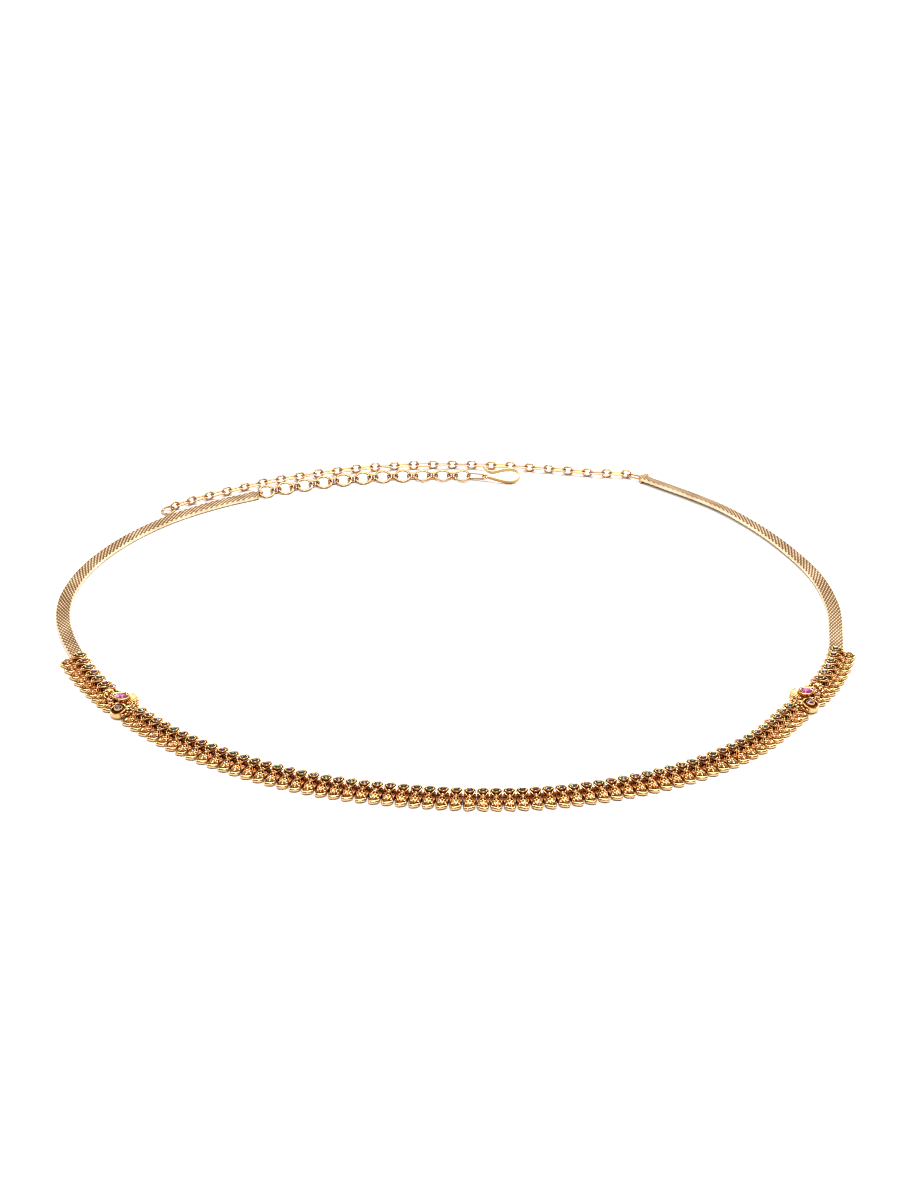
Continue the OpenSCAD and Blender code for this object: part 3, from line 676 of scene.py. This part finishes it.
# Places and radii of the motif's granules, and the scrolls of wire between its settings
MOTIF_BEADS = [
    (6.6, 1.9, 3.1, 0.65), (5.2, 2.5, 3.1, 0.65), (3.6, 2.6, 3.1, 0.65), (-2.7, -3.6, 3.1, 0.65),
    (-8.0, -2.3, 2.9, 0.9), (4.9, 0.9, 3.0, 0.5), (6.3, 0.4, 3.0, 0.55), (5.9, -2.9, 3.0, 0.6),
    (-4.6, 0.2, 3.1, 0.6), (-4.3, -1.4, 3.0, 0.5), (2.2, -4.4, 3.0, 0.5), (-1.5, -4.6, 3.0, 0.5),
    (-8.3, -3.7, 2.8, 0.5), (-8.4, -0.9, 2.8, 0.5), (8.9, -2.4, 2.9, 0.5), (3.4, -2.6, 3.0, 0.45),
    (-9.5, -3.2, 2.5, 0.6), (-10.3, -1.9, 2.5, 0.6), (-10.2, -4.4, 2.4, 0.6),
    (-9.6, -0.6, 2.6, 0.6), (-9.1, 0.8, 2.7, 0.55), (-9.9, -5.7, 2.3, 0.6), (-6.9, 3.1, 3.0, 0.6),
    (-8.2, 2.6, 3.0, 0.65), (-9.5, 2.0, 2.9, 0.6), (-10.3, 1.0, 2.7, 0.55), (-7.6, 1.5, 2.9, 0.5),
]
MOTIF_SCROLLS = [
    ([(3.3, 1.2), (4.6, -0.4), (4.9, -2.0), (3.9, -3.4), (2.4, -3.5)], 0.36),
    ([(4.6, -4.3), (6.3, -4.0), (7.6, -3.0), (7.4, -2.0), (6.5, -1.8)], 0.36),
    ([(-3.4, 0.9), (-5.4, 0.7), (-6.6, -0.6), (-6.0, -1.9), (-4.9, -2.0)], 0.4),
    ([(-2.6, -1.9), (-1.7, -3.1), (-1.2, -3.9)], 0.36),
    ([(6.0, -0.9), (5.9, 0.0), (5.5, 1.6)], 0.32),
]


def motif_shape():
    """The peacock without its drops."""
    bm = new_shape()
    # The plates under the ornament, and the foot of the dome at the crest, are painted with shade
    slab(bm, [(-8.6, -4.6), (-3, -5.4), (4.5, -5), (9.2, -3.2), (9.4, 1.2), (8.2, 2.9), (3.4, 2.9),
              (0, 4.4), (-5.6, 4.4), (-8.6, 0.8)], 1.95, 2.7, 0.25, dark=0.8)
    slab(bm, [(-10.9, -6.2), (-8.4, -6.2), (-8.4, 1.2), (-9.4, 1.4), (-10.9, 0.2)], 1.5, 2.2, 0.2,
         dark=0.7)
    slab(bm, [(-10.8, 0.0), (-8.4, 0.0), (-5.6, 2.0), (-5.0, 4.0), (-7.6, 3.5), (-10.3, 2.2)],
         1.9, 2.8, 0.2, dark=0.5)
    for x, y in [(-2.4, 3.4), (7.6, 2.1)]:
        turned(bm, [(0, 0), (0.7, 0), (0.8, 0.15), (0.8, 2.2), (0, 2.2)], 14,
               Matrix.Translation((x, y, 0)))
    for a, b in ((-7.4, -5.8), (5.4, 7.0)):
        slab(bm, [(a, -1.2), (b, -1.2), (b, 1.2), (a, 1.2)], 0.25, 2.2, 0.2)
    slab(bm, [(-1.3, -4.7), (9.0, -4.7), (9.0, -3.0), (-1.3, -3.0)], 0.5, 2.15, 0.2, dark=0.3)
    tear_setting_shape(bm)
    fan_shape(bm)
    setting_shape(bm, 1.9, 0.32, 1.95, 4.2, (8.8, 1.7))
    setting_shape(bm, 1.6, 0.37, 1.95, 3.4, (0.3, -4.5))
    turned(bm, [(0, 1.95), (1.6, 1.95, 0.7), (1.62, 2.8), (1.5, 3.5), (1.15, 4.0), (0.6, 4.22),
                (0, 4.28)], 20, Matrix.Translation((8.0, -0.5, 0)) @ Matrix.Rotation(0.5, 4, "Z")
           @ Matrix.Diagonal((0.9, 1.25, 1, 1)))
    for x, y, z, size in MOTIF_BEADS:
        ball(bm, size, (x, y, z))
    for path, width in MOTIF_SCROLLS:
        points = Track(path).path[::3]
        ends = [0.55 + 0.45 * min(1, i / 3, (len(points) - 1 - i) / 3) for i in range(len(points))]
        line = [(p.x, p.y, 2.95) for p in points]
        swept(bm, round_section(width, 6), frames_along(line, widths=ends))
    for x, y in [(-5.9, 4.0), (-6.4, 1.9), (-7.6, 0.2)]:
        wire_ring(bm, 0.8, 0.5, 18, 8, Matrix.Translation((x, y, 3.2)))
    pendant_shape(bm)
    return as_mesh(bm, "motif_shape")


# The woven bands

BAND_W = 6.1
BAND_T = 2.0
BAND_EDGE = 0.35
# The right band leans over by this angle, beginning past its last unit and over a run
RIGHT_ROLL = 12
ROLL_FROM = 40
ROLL_RUN = 100
# The weave's width at the band's edges where it runs out, and how high the plain metal lies there
PLAIN_FROM = 0.45
PLAIN_RUN = 0.25
PLAIN_LEVEL = 0.85


def roll_at(side, s):
    if side == LEFT:
        return 0.0
    return math.radians(RIGHT_ROLL) * min(1, max(0, (s - row_end(side) - ROLL_FROM) / ROLL_RUN))


def band_height(roll):
    return (BAND_W / 2 - BAND_EDGE) * math.sin(roll) + BAND_T / 2 * math.cos(roll)


def weave_tile(cell_length, cell_width, cells, relief, detail):
    """One repeat of the weave, unrolled: notched slanting ridges between grooves painted with
    shade.
    """
    bead = new_shape()
    bmesh.ops.create_grid(bead, x_segments=detail, y_segments=detail, size=1.0)
    layer = bead.verts.layers.float["recess"]
    for v in bead.verts:
        a, b = v.co.xy
        swell = (1 - 0.65 * a * a) * (1 - b * b)
        v.co = Vector(((a + b) * cell_length / 4, (a - b) * cell_width / 4, relief * swell ** 0.5))
        # Grooves and notches are marked for painted shade
        v[layer] = max(abs(b) ** 1.3, 0.75 * a ** 4)
    shape = as_mesh(bead, "weave_bead")
    tile = new_shape()
    for row in range(2 * cells):
        shift = cell_length / 2 * (row % 2)
        put(tile, shape, Matrix.Translation((shift, row * cell_width / 2, 0)))
    bpy.data.meshes.remove(shape)
    return as_mesh(tile, "weave_tile")


def round_the_band(p, lift, half_flat, end_r):
    """Place on the band's flattened tube section for a distance round it and a height off it."""
    quarter = math.pi * end_r / 2
    p = p % (4 * half_flat + 4 * quarter)
    r = end_r + lift
    for corner in range(2):
        sign = 1 - 2 * corner
        if p < quarter:
            a = p / end_r
            return sign * (half_flat + r * math.cos(a)), sign * r * math.sin(a)
        p -= quarter
        if p < 2 * half_flat:
            return sign * (half_flat - p), sign * r
        p -= 2 * half_flat
        if p < quarter:
            a = math.pi / 2 - p / end_r
            return -sign * (half_flat + r * math.cos(a)), sign * r * math.sin(a)
        p -= quarter
    return half_flat + r, 0.0


def band_shape(side, sizes):
    relief = sizes.weave_relief / MM
    end_r = BAND_T / 2 - relief
    half_flat = BAND_W / 2 - BAND_T / 2
    round_length = 4 * half_flat + math.tau * end_r
    cells = round(round_length / (sizes.weave_width / MM))
    start, end = row_end(side), band_end(side)
    pitch = sizes.weave_length / MM
    tile = weave_tile(pitch, round_length / cells, cells, relief, sizes.weave_detail)
    bm = new_shape()
    recess = bm.verts.layers.float["recess"]
    for i in range(int((end - start) / pitch) + 2):
        put(bm, tile, Matrix.Translation((start + i * pitch, 0, 0)))
    bpy.data.meshes.remove(tile)
    for at, way in ((start, -1), (end, 1)):
        geom = [*bm.verts, *bm.edges, *bm.faces]
        bmesh.ops.bisect_plane(bm, geom=geom, dist=1e-5, plane_co=(at, 0, 0), plane_no=(way, 0, 0),
                               clear_outer=True)
    stations = {}
    for v in bm.verts:
        s = round(v.co.x, 4)
        if s not in stations:
            roll = roll_at(side, s)
            stations[s] = (belt.place(middle_s + side * s, band_height(roll))
                           @ Matrix.Rotation(roll, 4, "X"))
        # The weave and its painted groove shade run out into plain metal where the edge rolls over
        edge = abs(round_the_band(v.co.y, 0, half_flat, end_r)[0]) - half_flat
        plain = min(max((edge - PLAIN_FROM) / PLAIN_RUN, 0), 1)
        lift = v.co.z + plain * (PLAIN_LEVEL * relief - v.co.z)
        v[recess] *= 1 - plain
        v.co = stations[s] @ Vector((0, *round_the_band(v.co.y, lift, half_flat, end_r)))
    bmesh.ops.remove_doubles(bm, verts=bm.verts, dist=1e-3)
    open_ends = [e for e in bm.edges if e.is_boundary]
    bmesh.ops.holes_fill(bm, edges=open_ends, sides=0)
    bmesh.ops.recalc_face_normals(bm, faces=bm.faces)
    return bm


# Properties

def length_prop(name, about, default):
    return FloatProperty(name=name, description=about, default=default, unit="LENGTH")


def colour_prop(name, about, default):
    return FloatVectorProperty(name=name, description=about, subtype="COLOR", default=default,
                               min=0, max=1)


class WaistBeltSizes(bpy.types.PropertyGroup):
    weave_length: length_prop("Weave Repeat", "Length of one bead of the weave", 0.0027)
    weave_width: length_prop("Weave Width", "Width of one bead of the weave", 0.00144)
    weave_relief: length_prop("Weave Relief", "Height of the beads of the weave", 0.00026)
    weave_detail: IntProperty(name="Weave Detail", description="Steps across one bead",
                              default=4, min=2, max=6)
    ring_wire: length_prop("Ring Wire", "Wire of the ring chain", 0.0009)
    chain_wire: length_prop("Chain Wire", "Wire of the long chain", 0.0008)


class WaistBeltColours(bpy.types.PropertyGroup):
    gold_light: colour_prop("Gold", "Open faces of the gold plate", (0.76, 0.5, 0.23))
    weave_light: colour_prop("Woven Gold", "Open faces of the weave", (0.95, 0.75, 0.52))
    chain_light: colour_prop("Chain Gold", "Wire of chains and hook", (0.56, 0.36, 0.19))
    # The shaded and deep colours are painted shade in grooves, gaps and hollows, with patina in
    # the recesses
    weave_shaded: colour_prop("Shaded Weave", "Sides of wires and grooves", (0.22, 0.105, 0.035))
    weave_deep: colour_prop("Deep Weave", "Depths between the wires", (0.05, 0.025, 0.008))
    gold_shaded: colour_prop("Shaded Gold", "Gold that lies half shut in", (0.42, 0.125, 0.028))
    gold_deep: colour_prop("Recess", "Old plating in the recesses", (0.06, 0.014, 0.003))
    green: colour_prop("Green Stone", "Green glass of the row", (0.008, 0.035, 0.03))
    red: colour_prop("Red Stone", "Dark pink glass of row and pendants", (0.06, 0.008, 0.035))
    pink: colour_prop("Pink Stone", "Pink glass of the teardrops", (0.3, 0.03, 0.16))


# Operators

class WAISTBELT_OT_front_row(bpy.types.Operator):
    """Builds the strung units of both halves of the row"""
    bl_idname = "waistbelt.front_row"
    bl_label = "Front Row"

    def execute(self, context):
        shape = unit_shape()
        for side, name in SIDE_NAMES.items():
            bm = new_shape()
            for s in unit_places(side):
                put(bm, shape, on_belt(side, s))
            finish_piece(bm, f"row_units_{name}", "row_gold", f"front_units_{name}")
        bpy.data.meshes.remove(shape)
        return {"FINISHED"}


class WAISTBELT_OT_peacocks(bpy.types.Operator):
    """Builds the two peacock motifs with their drops"""
    bl_idname = "waistbelt.peacocks"
    bl_label = "Peacock Motifs"

    def execute(self, context):
        motif = motif_shape()
        drop = new_shape()
        drop_shape(drop, MOTIF_DROP_R)
        drop = as_mesh(drop, "motif_drop")
        for side, name in SIDE_NAMES.items():
            bm = new_shape()
            put(bm, motif, on_belt(side, motif_s(side)))
            for d in MOTIF_DROPS:
                put(bm, drop, on_belt(side, motif_s(side) + d))
            finish_piece(bm, f"peacock_motif_{name}", "row_gold", f"peacock_{name}")
        bpy.data.meshes.remove(motif)
        bpy.data.meshes.remove(drop)
        return {"FINISHED"}


class WAISTBELT_OT_bands(bpy.types.Operator):
    """Weaves the two bands"""
    bl_idname = "waistbelt.bands"
    bl_label = "Woven Bands"

    def execute(self, context):
        for side, name in SIDE_NAMES.items():
            bm = band_shape(side, context.scene.waist_belt_sizes)
            finish_piece(bm, f"woven_band_{name}", "weave_gold", f"band_{name}", sharp=80)
        return {"FINISHED"}


class WAISTBELT_OT_end_caps(bpy.types.Operator):
    """Builds the plates that the bands end in, with the lug and the bail"""
    bl_idname = "waistbelt.end_caps"
    bl_label = "End Caps"

    def execute(self, context):
        bm = new_shape()
        w = BAND_W / 2
        here = on_belt(LEFT, band_end(LEFT)) @ Matrix.Translation((PLAY, 0, 0))
        slab(bm, [(0, -w), (0.7, -w), (1.4, -1.2), (1.4, 1.2), (0.7, w), (0, w)],
             0, BAND_T - 0.2, 0.2, matrix=here)
        lug = here @ Matrix.Translation((2.4, 0, 1.75)) @ Matrix.Rotation(math.pi / 2, 4, "X")
        turned(bm, [(1.0, -0.42), (1.08, -0.5), (1.32, -0.5), (1.4, -0.42), (1.4, 0.42),
                    (1.32, 0.5), (1.08, 0.5), (1.0, 0.42), (1.0, -0.42)], 24, lug)
        slab(bm, [(0.5, -0.5), (1.42, -0.5), (1.42, 0.5), (0.5, 0.5)], 0, 2.6, 0.15, matrix=here)
        finish_piece(bm, "band_end_left", "hook_gold", "end_cap_left")
        bm = new_shape()
        here = on_belt(RIGHT, band_end(RIGHT)) @ Matrix.Translation((PLAY, 0, 0))
        roll = math.radians(RIGHT_ROLL)
        plate = (here @ Matrix.Translation((0, 0, band_height(roll)))
                 @ Matrix.Rotation(-roll, 4, "X") @ Matrix.Translation((0, 0, -BAND_T / 2)))
        slab(bm, [(0, 0.2 - w), (0.8, 0.2 - w), (2.6, -0.9), (2.6, 1.3), (0.8, w - 0.2),
                  (0, w - 0.2)], 0, BAND_T, 0.25, matrix=plate)
        bail = (here @ Matrix.Translation((1.2, 0, 1.5))
                @ Matrix.Rotation(math.radians(14), 4, "Z") @ Matrix.Translation((4, 0, 0)))
        link(bm, 8.0, 3.5, 0.9, bail)
        finish_piece(bm, "band_end_right", "hook_gold", "end_cap_right")
        return {"FINISHED"}


RING_COUNT = 11
RING_PITCH = 9.1
RING_TILT = 24
# The rings from this one on lie flatter, nearer the hook
FLATTER_FROM = 8
FLATTER_BY = 9
RING_R = 3.15
RING_RISE = RING_R * math.sin(math.radians(RING_TILT))
# The rings' wire is hammered broader outwards than it is thick
RING_SPREAD = 0.26
JOINT_WIRE = 0.75


class WAISTBELT_OT_ring_chain(bpy.types.Operator):
    """Builds the lying rings and the upright links between them"""
    bl_idname = "waistbelt.ring_chain"
    bl_label = "Ring Chain"

    def execute(self, context):
        wire = context.scene.waist_belt_sizes.ring_wire / MM
        z = RING_RISE + wire / 2
        joint_l = RING_PITCH - 2 * RING_R + wire + 2 * (PLAY + 0.03 + JOINT_WIRE)
        bm = new_shape()
        for i in range(RING_COUNT):
            tilt = math.radians(RING_TILT - 1 - (FLATTER_BY if i >= FLATTER_FROM else 0))
            wire_ring(bm, RING_R + RING_SPREAD / 2, wire + RING_SPREAD, 32, 10,
                      rings.place(i * RING_PITCH, z) @ Matrix.Rotation(tilt, 4, "X"),
                      squash=wire / (wire + RING_SPREAD))
        for i in range(RING_COUNT - 1):
            here = rings.place((i + 0.5) * RING_PITCH, z)
            link(bm, joint_l, 2 * z, JOINT_WIRE, here @ Matrix.Rotation(math.pi / 2, 4, "X"),
                 thick=1.25)
            # The joint's middle ball and, darker, its lower one are painted with shade
            ball(bm, 0.56, here.translation, dark=0.2)
            ball(bm, 0.5, here @ Vector((0, 0, 0.85)))
            ball(bm, 0.5, here @ Vector((0, 0, -0.85)), dark=0.4)
        finish_piece(bm, "rings_and_links", "chain_gold", "ring_chain")
        return {"FINISHED"}


HOOK_CURVE = [
    (1.3, -0.3), (5.5, -1.8), (10.2, -3.1), (13.4, -2.7), (15.4, -0.8), (15.6, 1.3), (14.4, 3.3),
    (12, 4.2), (8.5, 3.9), (5.4, 2.9), (3.2, 2.5), (1.4, 3.1), (0.2, 4.4), (-0.6, 6.0),
]
LAST_RING_S = (RING_COUNT - 1) * RING_PITCH
EYE_S = LAST_RING_S + 10.6
RING_WIRE_R = 0.45
HOLDER_WIRE = 0.7
HOOK_LEAN = math.radians(25)
HOOK_Z = 3.46 * math.sin(HOOK_LEAN) + 0.95 * math.cos(HOOK_LEAN)


class WAISTBELT_OT_hook(bpy.types.Operator):
    """Bends the strip hook with its eye, and the link that holds it"""
    bl_idname = "waistbelt.hook"
    bl_label = "Hook"

    def execute(self, context):
        eye = rings.at(EYE_S)
        here = Matrix.Translation((eye.x, eye.y, HOOK_Z)) @ Matrix.Rotation(HOOK_LEAN, 4, "X")
        bm = new_shape()
        path = [(p.x, p.y, 0) for p in Track(HOOK_CURVE).path[::2]]
        strip = [(-0.3, -0.85), (-0.2, -0.95), (0.2, -0.95), (0.3, -0.85), (0.3, 0.85),
                 (0.2, 0.95), (-0.2, 0.95), (-0.3, 0.85)]
        swept(bm, strip, frames_along(path), matrix=here)
        wire_ring(bm, 1.1, 0.8, 24, 10, here)
        finish_piece(bm, "strip_hook", "hook_gold", "hook")
        ring_z = RING_RISE + RING_WIRE_R
        start = LAST_RING_S + RING_R - RING_WIRE_R - PLAY - 0.1 - HOLDER_WIRE
        length = EYE_S + 0.05 + HOLDER_WIRE / 2 - start
        rise = math.asin((HOOK_Z - ring_z) / (length - 1))
        bm = new_shape()
        here = rings.place(start + length / 2, (HOOK_Z + ring_z) / 2)
        link(bm, length, 3.2, HOLDER_WIRE, here @ Matrix.Rotation(-rise, 4, "Y")
             @ Matrix.Rotation(math.pi / 2, 4, "X"), thick=1.0)
        finish_piece(bm, "hook_holder", "hook_gold", "hook_link")
        return {"FINISHED"}


CHAIN_COUNT = 25
CHAIN_PITCH = 8.9
UPRIGHT_L = 5.1
UPRIGHT_W = 4.2
LYING_W = 3.3
LAST_RING_R = 2.85
LAST_RING_WIRE = 1.0


class WAISTBELT_OT_long_chain(bpy.types.Operator):
    """Builds the long chain of upright and lying links, and its end ring"""
    bl_idname = "waistbelt.long_chain"
    bl_label = "Long Chain"

    def execute(self, context):
        wire = context.scene.waist_belt_sizes.chain_wire / MM
        z = UPRIGHT_W / 2
        flat_l = CHAIN_PITCH - 2 * (UPRIGHT_L / 2 - 1.5 * wire - PLAY - 0.02) + wire
        bm = new_shape()
        for i in range(CHAIN_COUNT):
            lean = math.radians(90 + 6 * math.sin(math.radians(i * 140)))
            link(bm, UPRIGHT_L, UPRIGHT_W, wire, chain.place(i * CHAIN_PITCH, z)
                 @ Matrix.Rotation(lean, 4, "X"), thick=wire + 0.3)
        for i in range(CHAIN_COUNT - 1):
            # The lying links are hammered broader, outwards at the ends and inwards at the sides
            lean = math.radians(5 * math.sin(math.radians(i * 97)))
            link(bm, flat_l + 0.4, LYING_W, wire + 0.2, chain.place((i + 0.5) * CHAIN_PITCH, z)
                 @ Matrix.Rotation(lean, 4, "X"), thick=wire)
        finish_piece(bm, "long_chain_links", "chain_gold", "long_chain")
        bm = new_shape()
        lean = math.radians(12)
        s = (CHAIN_COUNT - 1) * CHAIN_PITCH + 0.85 + LAST_RING_R * math.cos(lean)
        here = chain.place(s, LAST_RING_R * math.sin(lean) + LAST_RING_WIRE / 2)
        wire_ring(bm, LAST_RING_R, LAST_RING_WIRE, 32, 10, here @ Matrix.Rotation(lean, 4, "Y"))
        finish_piece(bm, "last_ring", "chain_gold", "end_ring")
        return {"FINISHED"}


class WAISTBELT_OT_stones(bpy.types.Operator):
    """Gives the cut stones and the stringing wire their finish"""
    bl_idname = "waistbelt.stones"
    bl_label = "Stones and Wire"

    def execute(self, context):
        colours = context.scene.waist_belt_colours
        green = foiled_glass("green_stone", (*colours.green, 1), (0.2, 0.42, 0.38, 1))
        red = foiled_glass("red_stone", (*colours.red, 1), (0.45, 0.16, 0.36, 1))
        pink = foiled_glass("pink_stone", (*colours.pink, 1), (0.6, 0.17, 0.42, 1), 600.0)
        rose = foiled_glass("rose_stone", (0.14, 0.03, 0.06, 1), (0.6, 0.28, 0.36, 1))
        repaint("emerald_stones", green)
        repaint("ruby_stones", red)
        for name in SIDE_NAMES.values():
            repaint(f"teardrop_stone_{name}", pink)
            repaint(f"pendant_stone_{name}", red)
            repaint(f"crest_stone_{name}", rose)
            repaint(f"side_stone_{name}", rose)
        repaint("stringing_wire", gold("wire_gold"))
        return {"FINISHED"}


# The stage, in metres
FLOOR_HALF = 12
FLOOR_GAP = 0.00002
SENSOR_WIDTH = 36
LENS = 89.28
ELEVATION = math.radians(29)
CAMERA_DISTANCE = 1.26
LOOK_AT = (0, 0.019, 0)


class WAISTBELT_OT_stage(bpy.types.Operator):
    """Lays the pale floor and sets the soft lights and the camera"""
    bl_idname = "waistbelt.stage"
    bl_label = "Stage"

    def execute(self, context):
        scene = context.scene
        bm = bmesh.new()
        bmesh.ops.create_grid(bm, x_segments=4, y_segments=4, size=FLOOR_HALF)
        bmesh.ops.translate(bm, vec=(0, 0, cad_box[0].z - FLOOR_GAP), verts=bm.verts)
        floor = bpy.data.objects.new("table", as_mesh(bm, "table"))
        scene.collection.objects.link(floor)
        paper = new_material("white_table", {
            "Base Color": (0.94, 0.94, 0.94, 1), "Roughness": 0.9, "Specular IOR Level": 0.1})[0]
        floor.data.materials.append(paper)

        # The room is white past the table's rim and lights the belt with a dimmer, warmer tone
        world = bpy.data.worlds.new("studio")
        scene.world = world
        world.use_nodes = True
        tree = world.node_tree
        sky = tree.nodes["Background"]
        set_inputs(sky, {"Color": (0.5, 0.47, 0.44, 1), "Strength": 0.4})
        seen = new_node(tree, "Background", {"Color": (1, 1, 1, 1)})
        path = new_node(tree, "LightPath")
        mix = new_node(tree, "MixShader")
        out = tree.nodes["World Output"]
        wire_up(tree, [
            ((path, "Is Camera Ray"), (mix, 0)), ((sky, 0), (mix, 1)), ((seen, 0), (mix, 2)),
            ((mix, 0), (out, "Surface")),
        ])

        # Name, place, size, power and colour
        lights = [
            ("overhead", (0.1, 0.1, 1.5), 1.6, 34.0, (1.0, 0.99, 0.97)),
            ("window_left", (-1.5, 0.5, 0.9), 0.7, 14.0, (1.0, 0.98, 0.95)),
            ("window_right", (1.4, 0.7, 0.8), 0.5, 16.0, (1.0, 0.99, 0.97)),
            ("front_fill", (0.3, -1.5, 1.1), 0.6, 7.0, (1.0, 0.97, 0.93)),
            ("window_back", (0, 1.9, 1.05), 1.2, 5.0, (1.0, 0.99, 0.97)),
        ]
        for name, place, size, power, colour in lights:
            data = bpy.data.lights.new(name, "AREA")
            data.shape = "SQUARE"
            data.size = size
            data.energy = power
            data.color = colour
            lamp = bpy.data.objects.new(name, data)
            lamp.location = place
            aim = Vector() - Vector(place)
            lamp.rotation_euler = aim.to_track_quat("-Z", "Y").to_euler()
            scene.collection.objects.link(lamp)

        data = bpy.data.cameras.new("camera")
        data.sensor_width = SENSOR_WIDTH
        data.lens = LENS
        data.clip_start = 0.05
        data.clip_end = 50
        camera = bpy.data.objects.new("camera", data)
        away = Vector((0, -math.cos(ELEVATION), math.sin(ELEVATION)))
        camera.location = Vector(LOOK_AT) + CAMERA_DISTANCE * away
        camera.rotation_euler = (-away).to_track_quat("-Z", "Y").to_euler()
        scene.collection.objects.link(camera)
        scene.camera = camera
        scene.view_settings.view_transform = "Standard"
        scene.cycles.filter_width = 1.1
        return {"FINISHED"}


class WAISTBELT_PT_panel(bpy.types.Panel):
    bl_label = "Waist Belt"
    bl_space_type = "VIEW_3D"
    bl_region_type = "UI"
    bl_category = "Waist Belt"

    def draw(self, context):
        layout = self.layout
        for group in (context.scene.waist_belt_sizes, context.scene.waist_belt_colours):
            for name in group.__annotations__:
                layout.prop(group, name)
        for step in STEPS:
            layout.operator(step.bl_idname)


STEPS = (
    WAISTBELT_OT_stage, WAISTBELT_OT_front_row, WAISTBELT_OT_peacocks, WAISTBELT_OT_bands,
    WAISTBELT_OT_end_caps, WAISTBELT_OT_ring_chain, WAISTBELT_OT_hook, WAISTBELT_OT_long_chain,
    WAISTBELT_OT_stones,
)
CLASSES = (WaistBeltSizes, WaistBeltColours, *STEPS, WAISTBELT_PT_panel)


def register():
    for c in CLASSES:
        bpy.utils.register_class(c)
    bpy.types.Scene.waist_belt_sizes = PointerProperty(type=WaistBeltSizes)
    bpy.types.Scene.waist_belt_colours = PointerProperty(type=WaistBeltColours)


def unregister():
    del bpy.types.Scene.waist_belt_colours
    del bpy.types.Scene.waist_belt_sizes
    for c in reversed(CLASSES):
        bpy.utils.unregister_class(c)


def main():
    register()
    bpy.ops.waistbelt.stage()
    bpy.ops.waistbelt.front_row()
    bpy.ops.waistbelt.peacocks()
    bpy.ops.waistbelt.bands()
    bpy.ops.waistbelt.end_caps()
    bpy.ops.waistbelt.ring_chain()
    bpy.ops.waistbelt.hook()
    bpy.ops.waistbelt.long_chain()
    bpy.ops.waistbelt.stones()


if __name__ == "__main__":
    main()
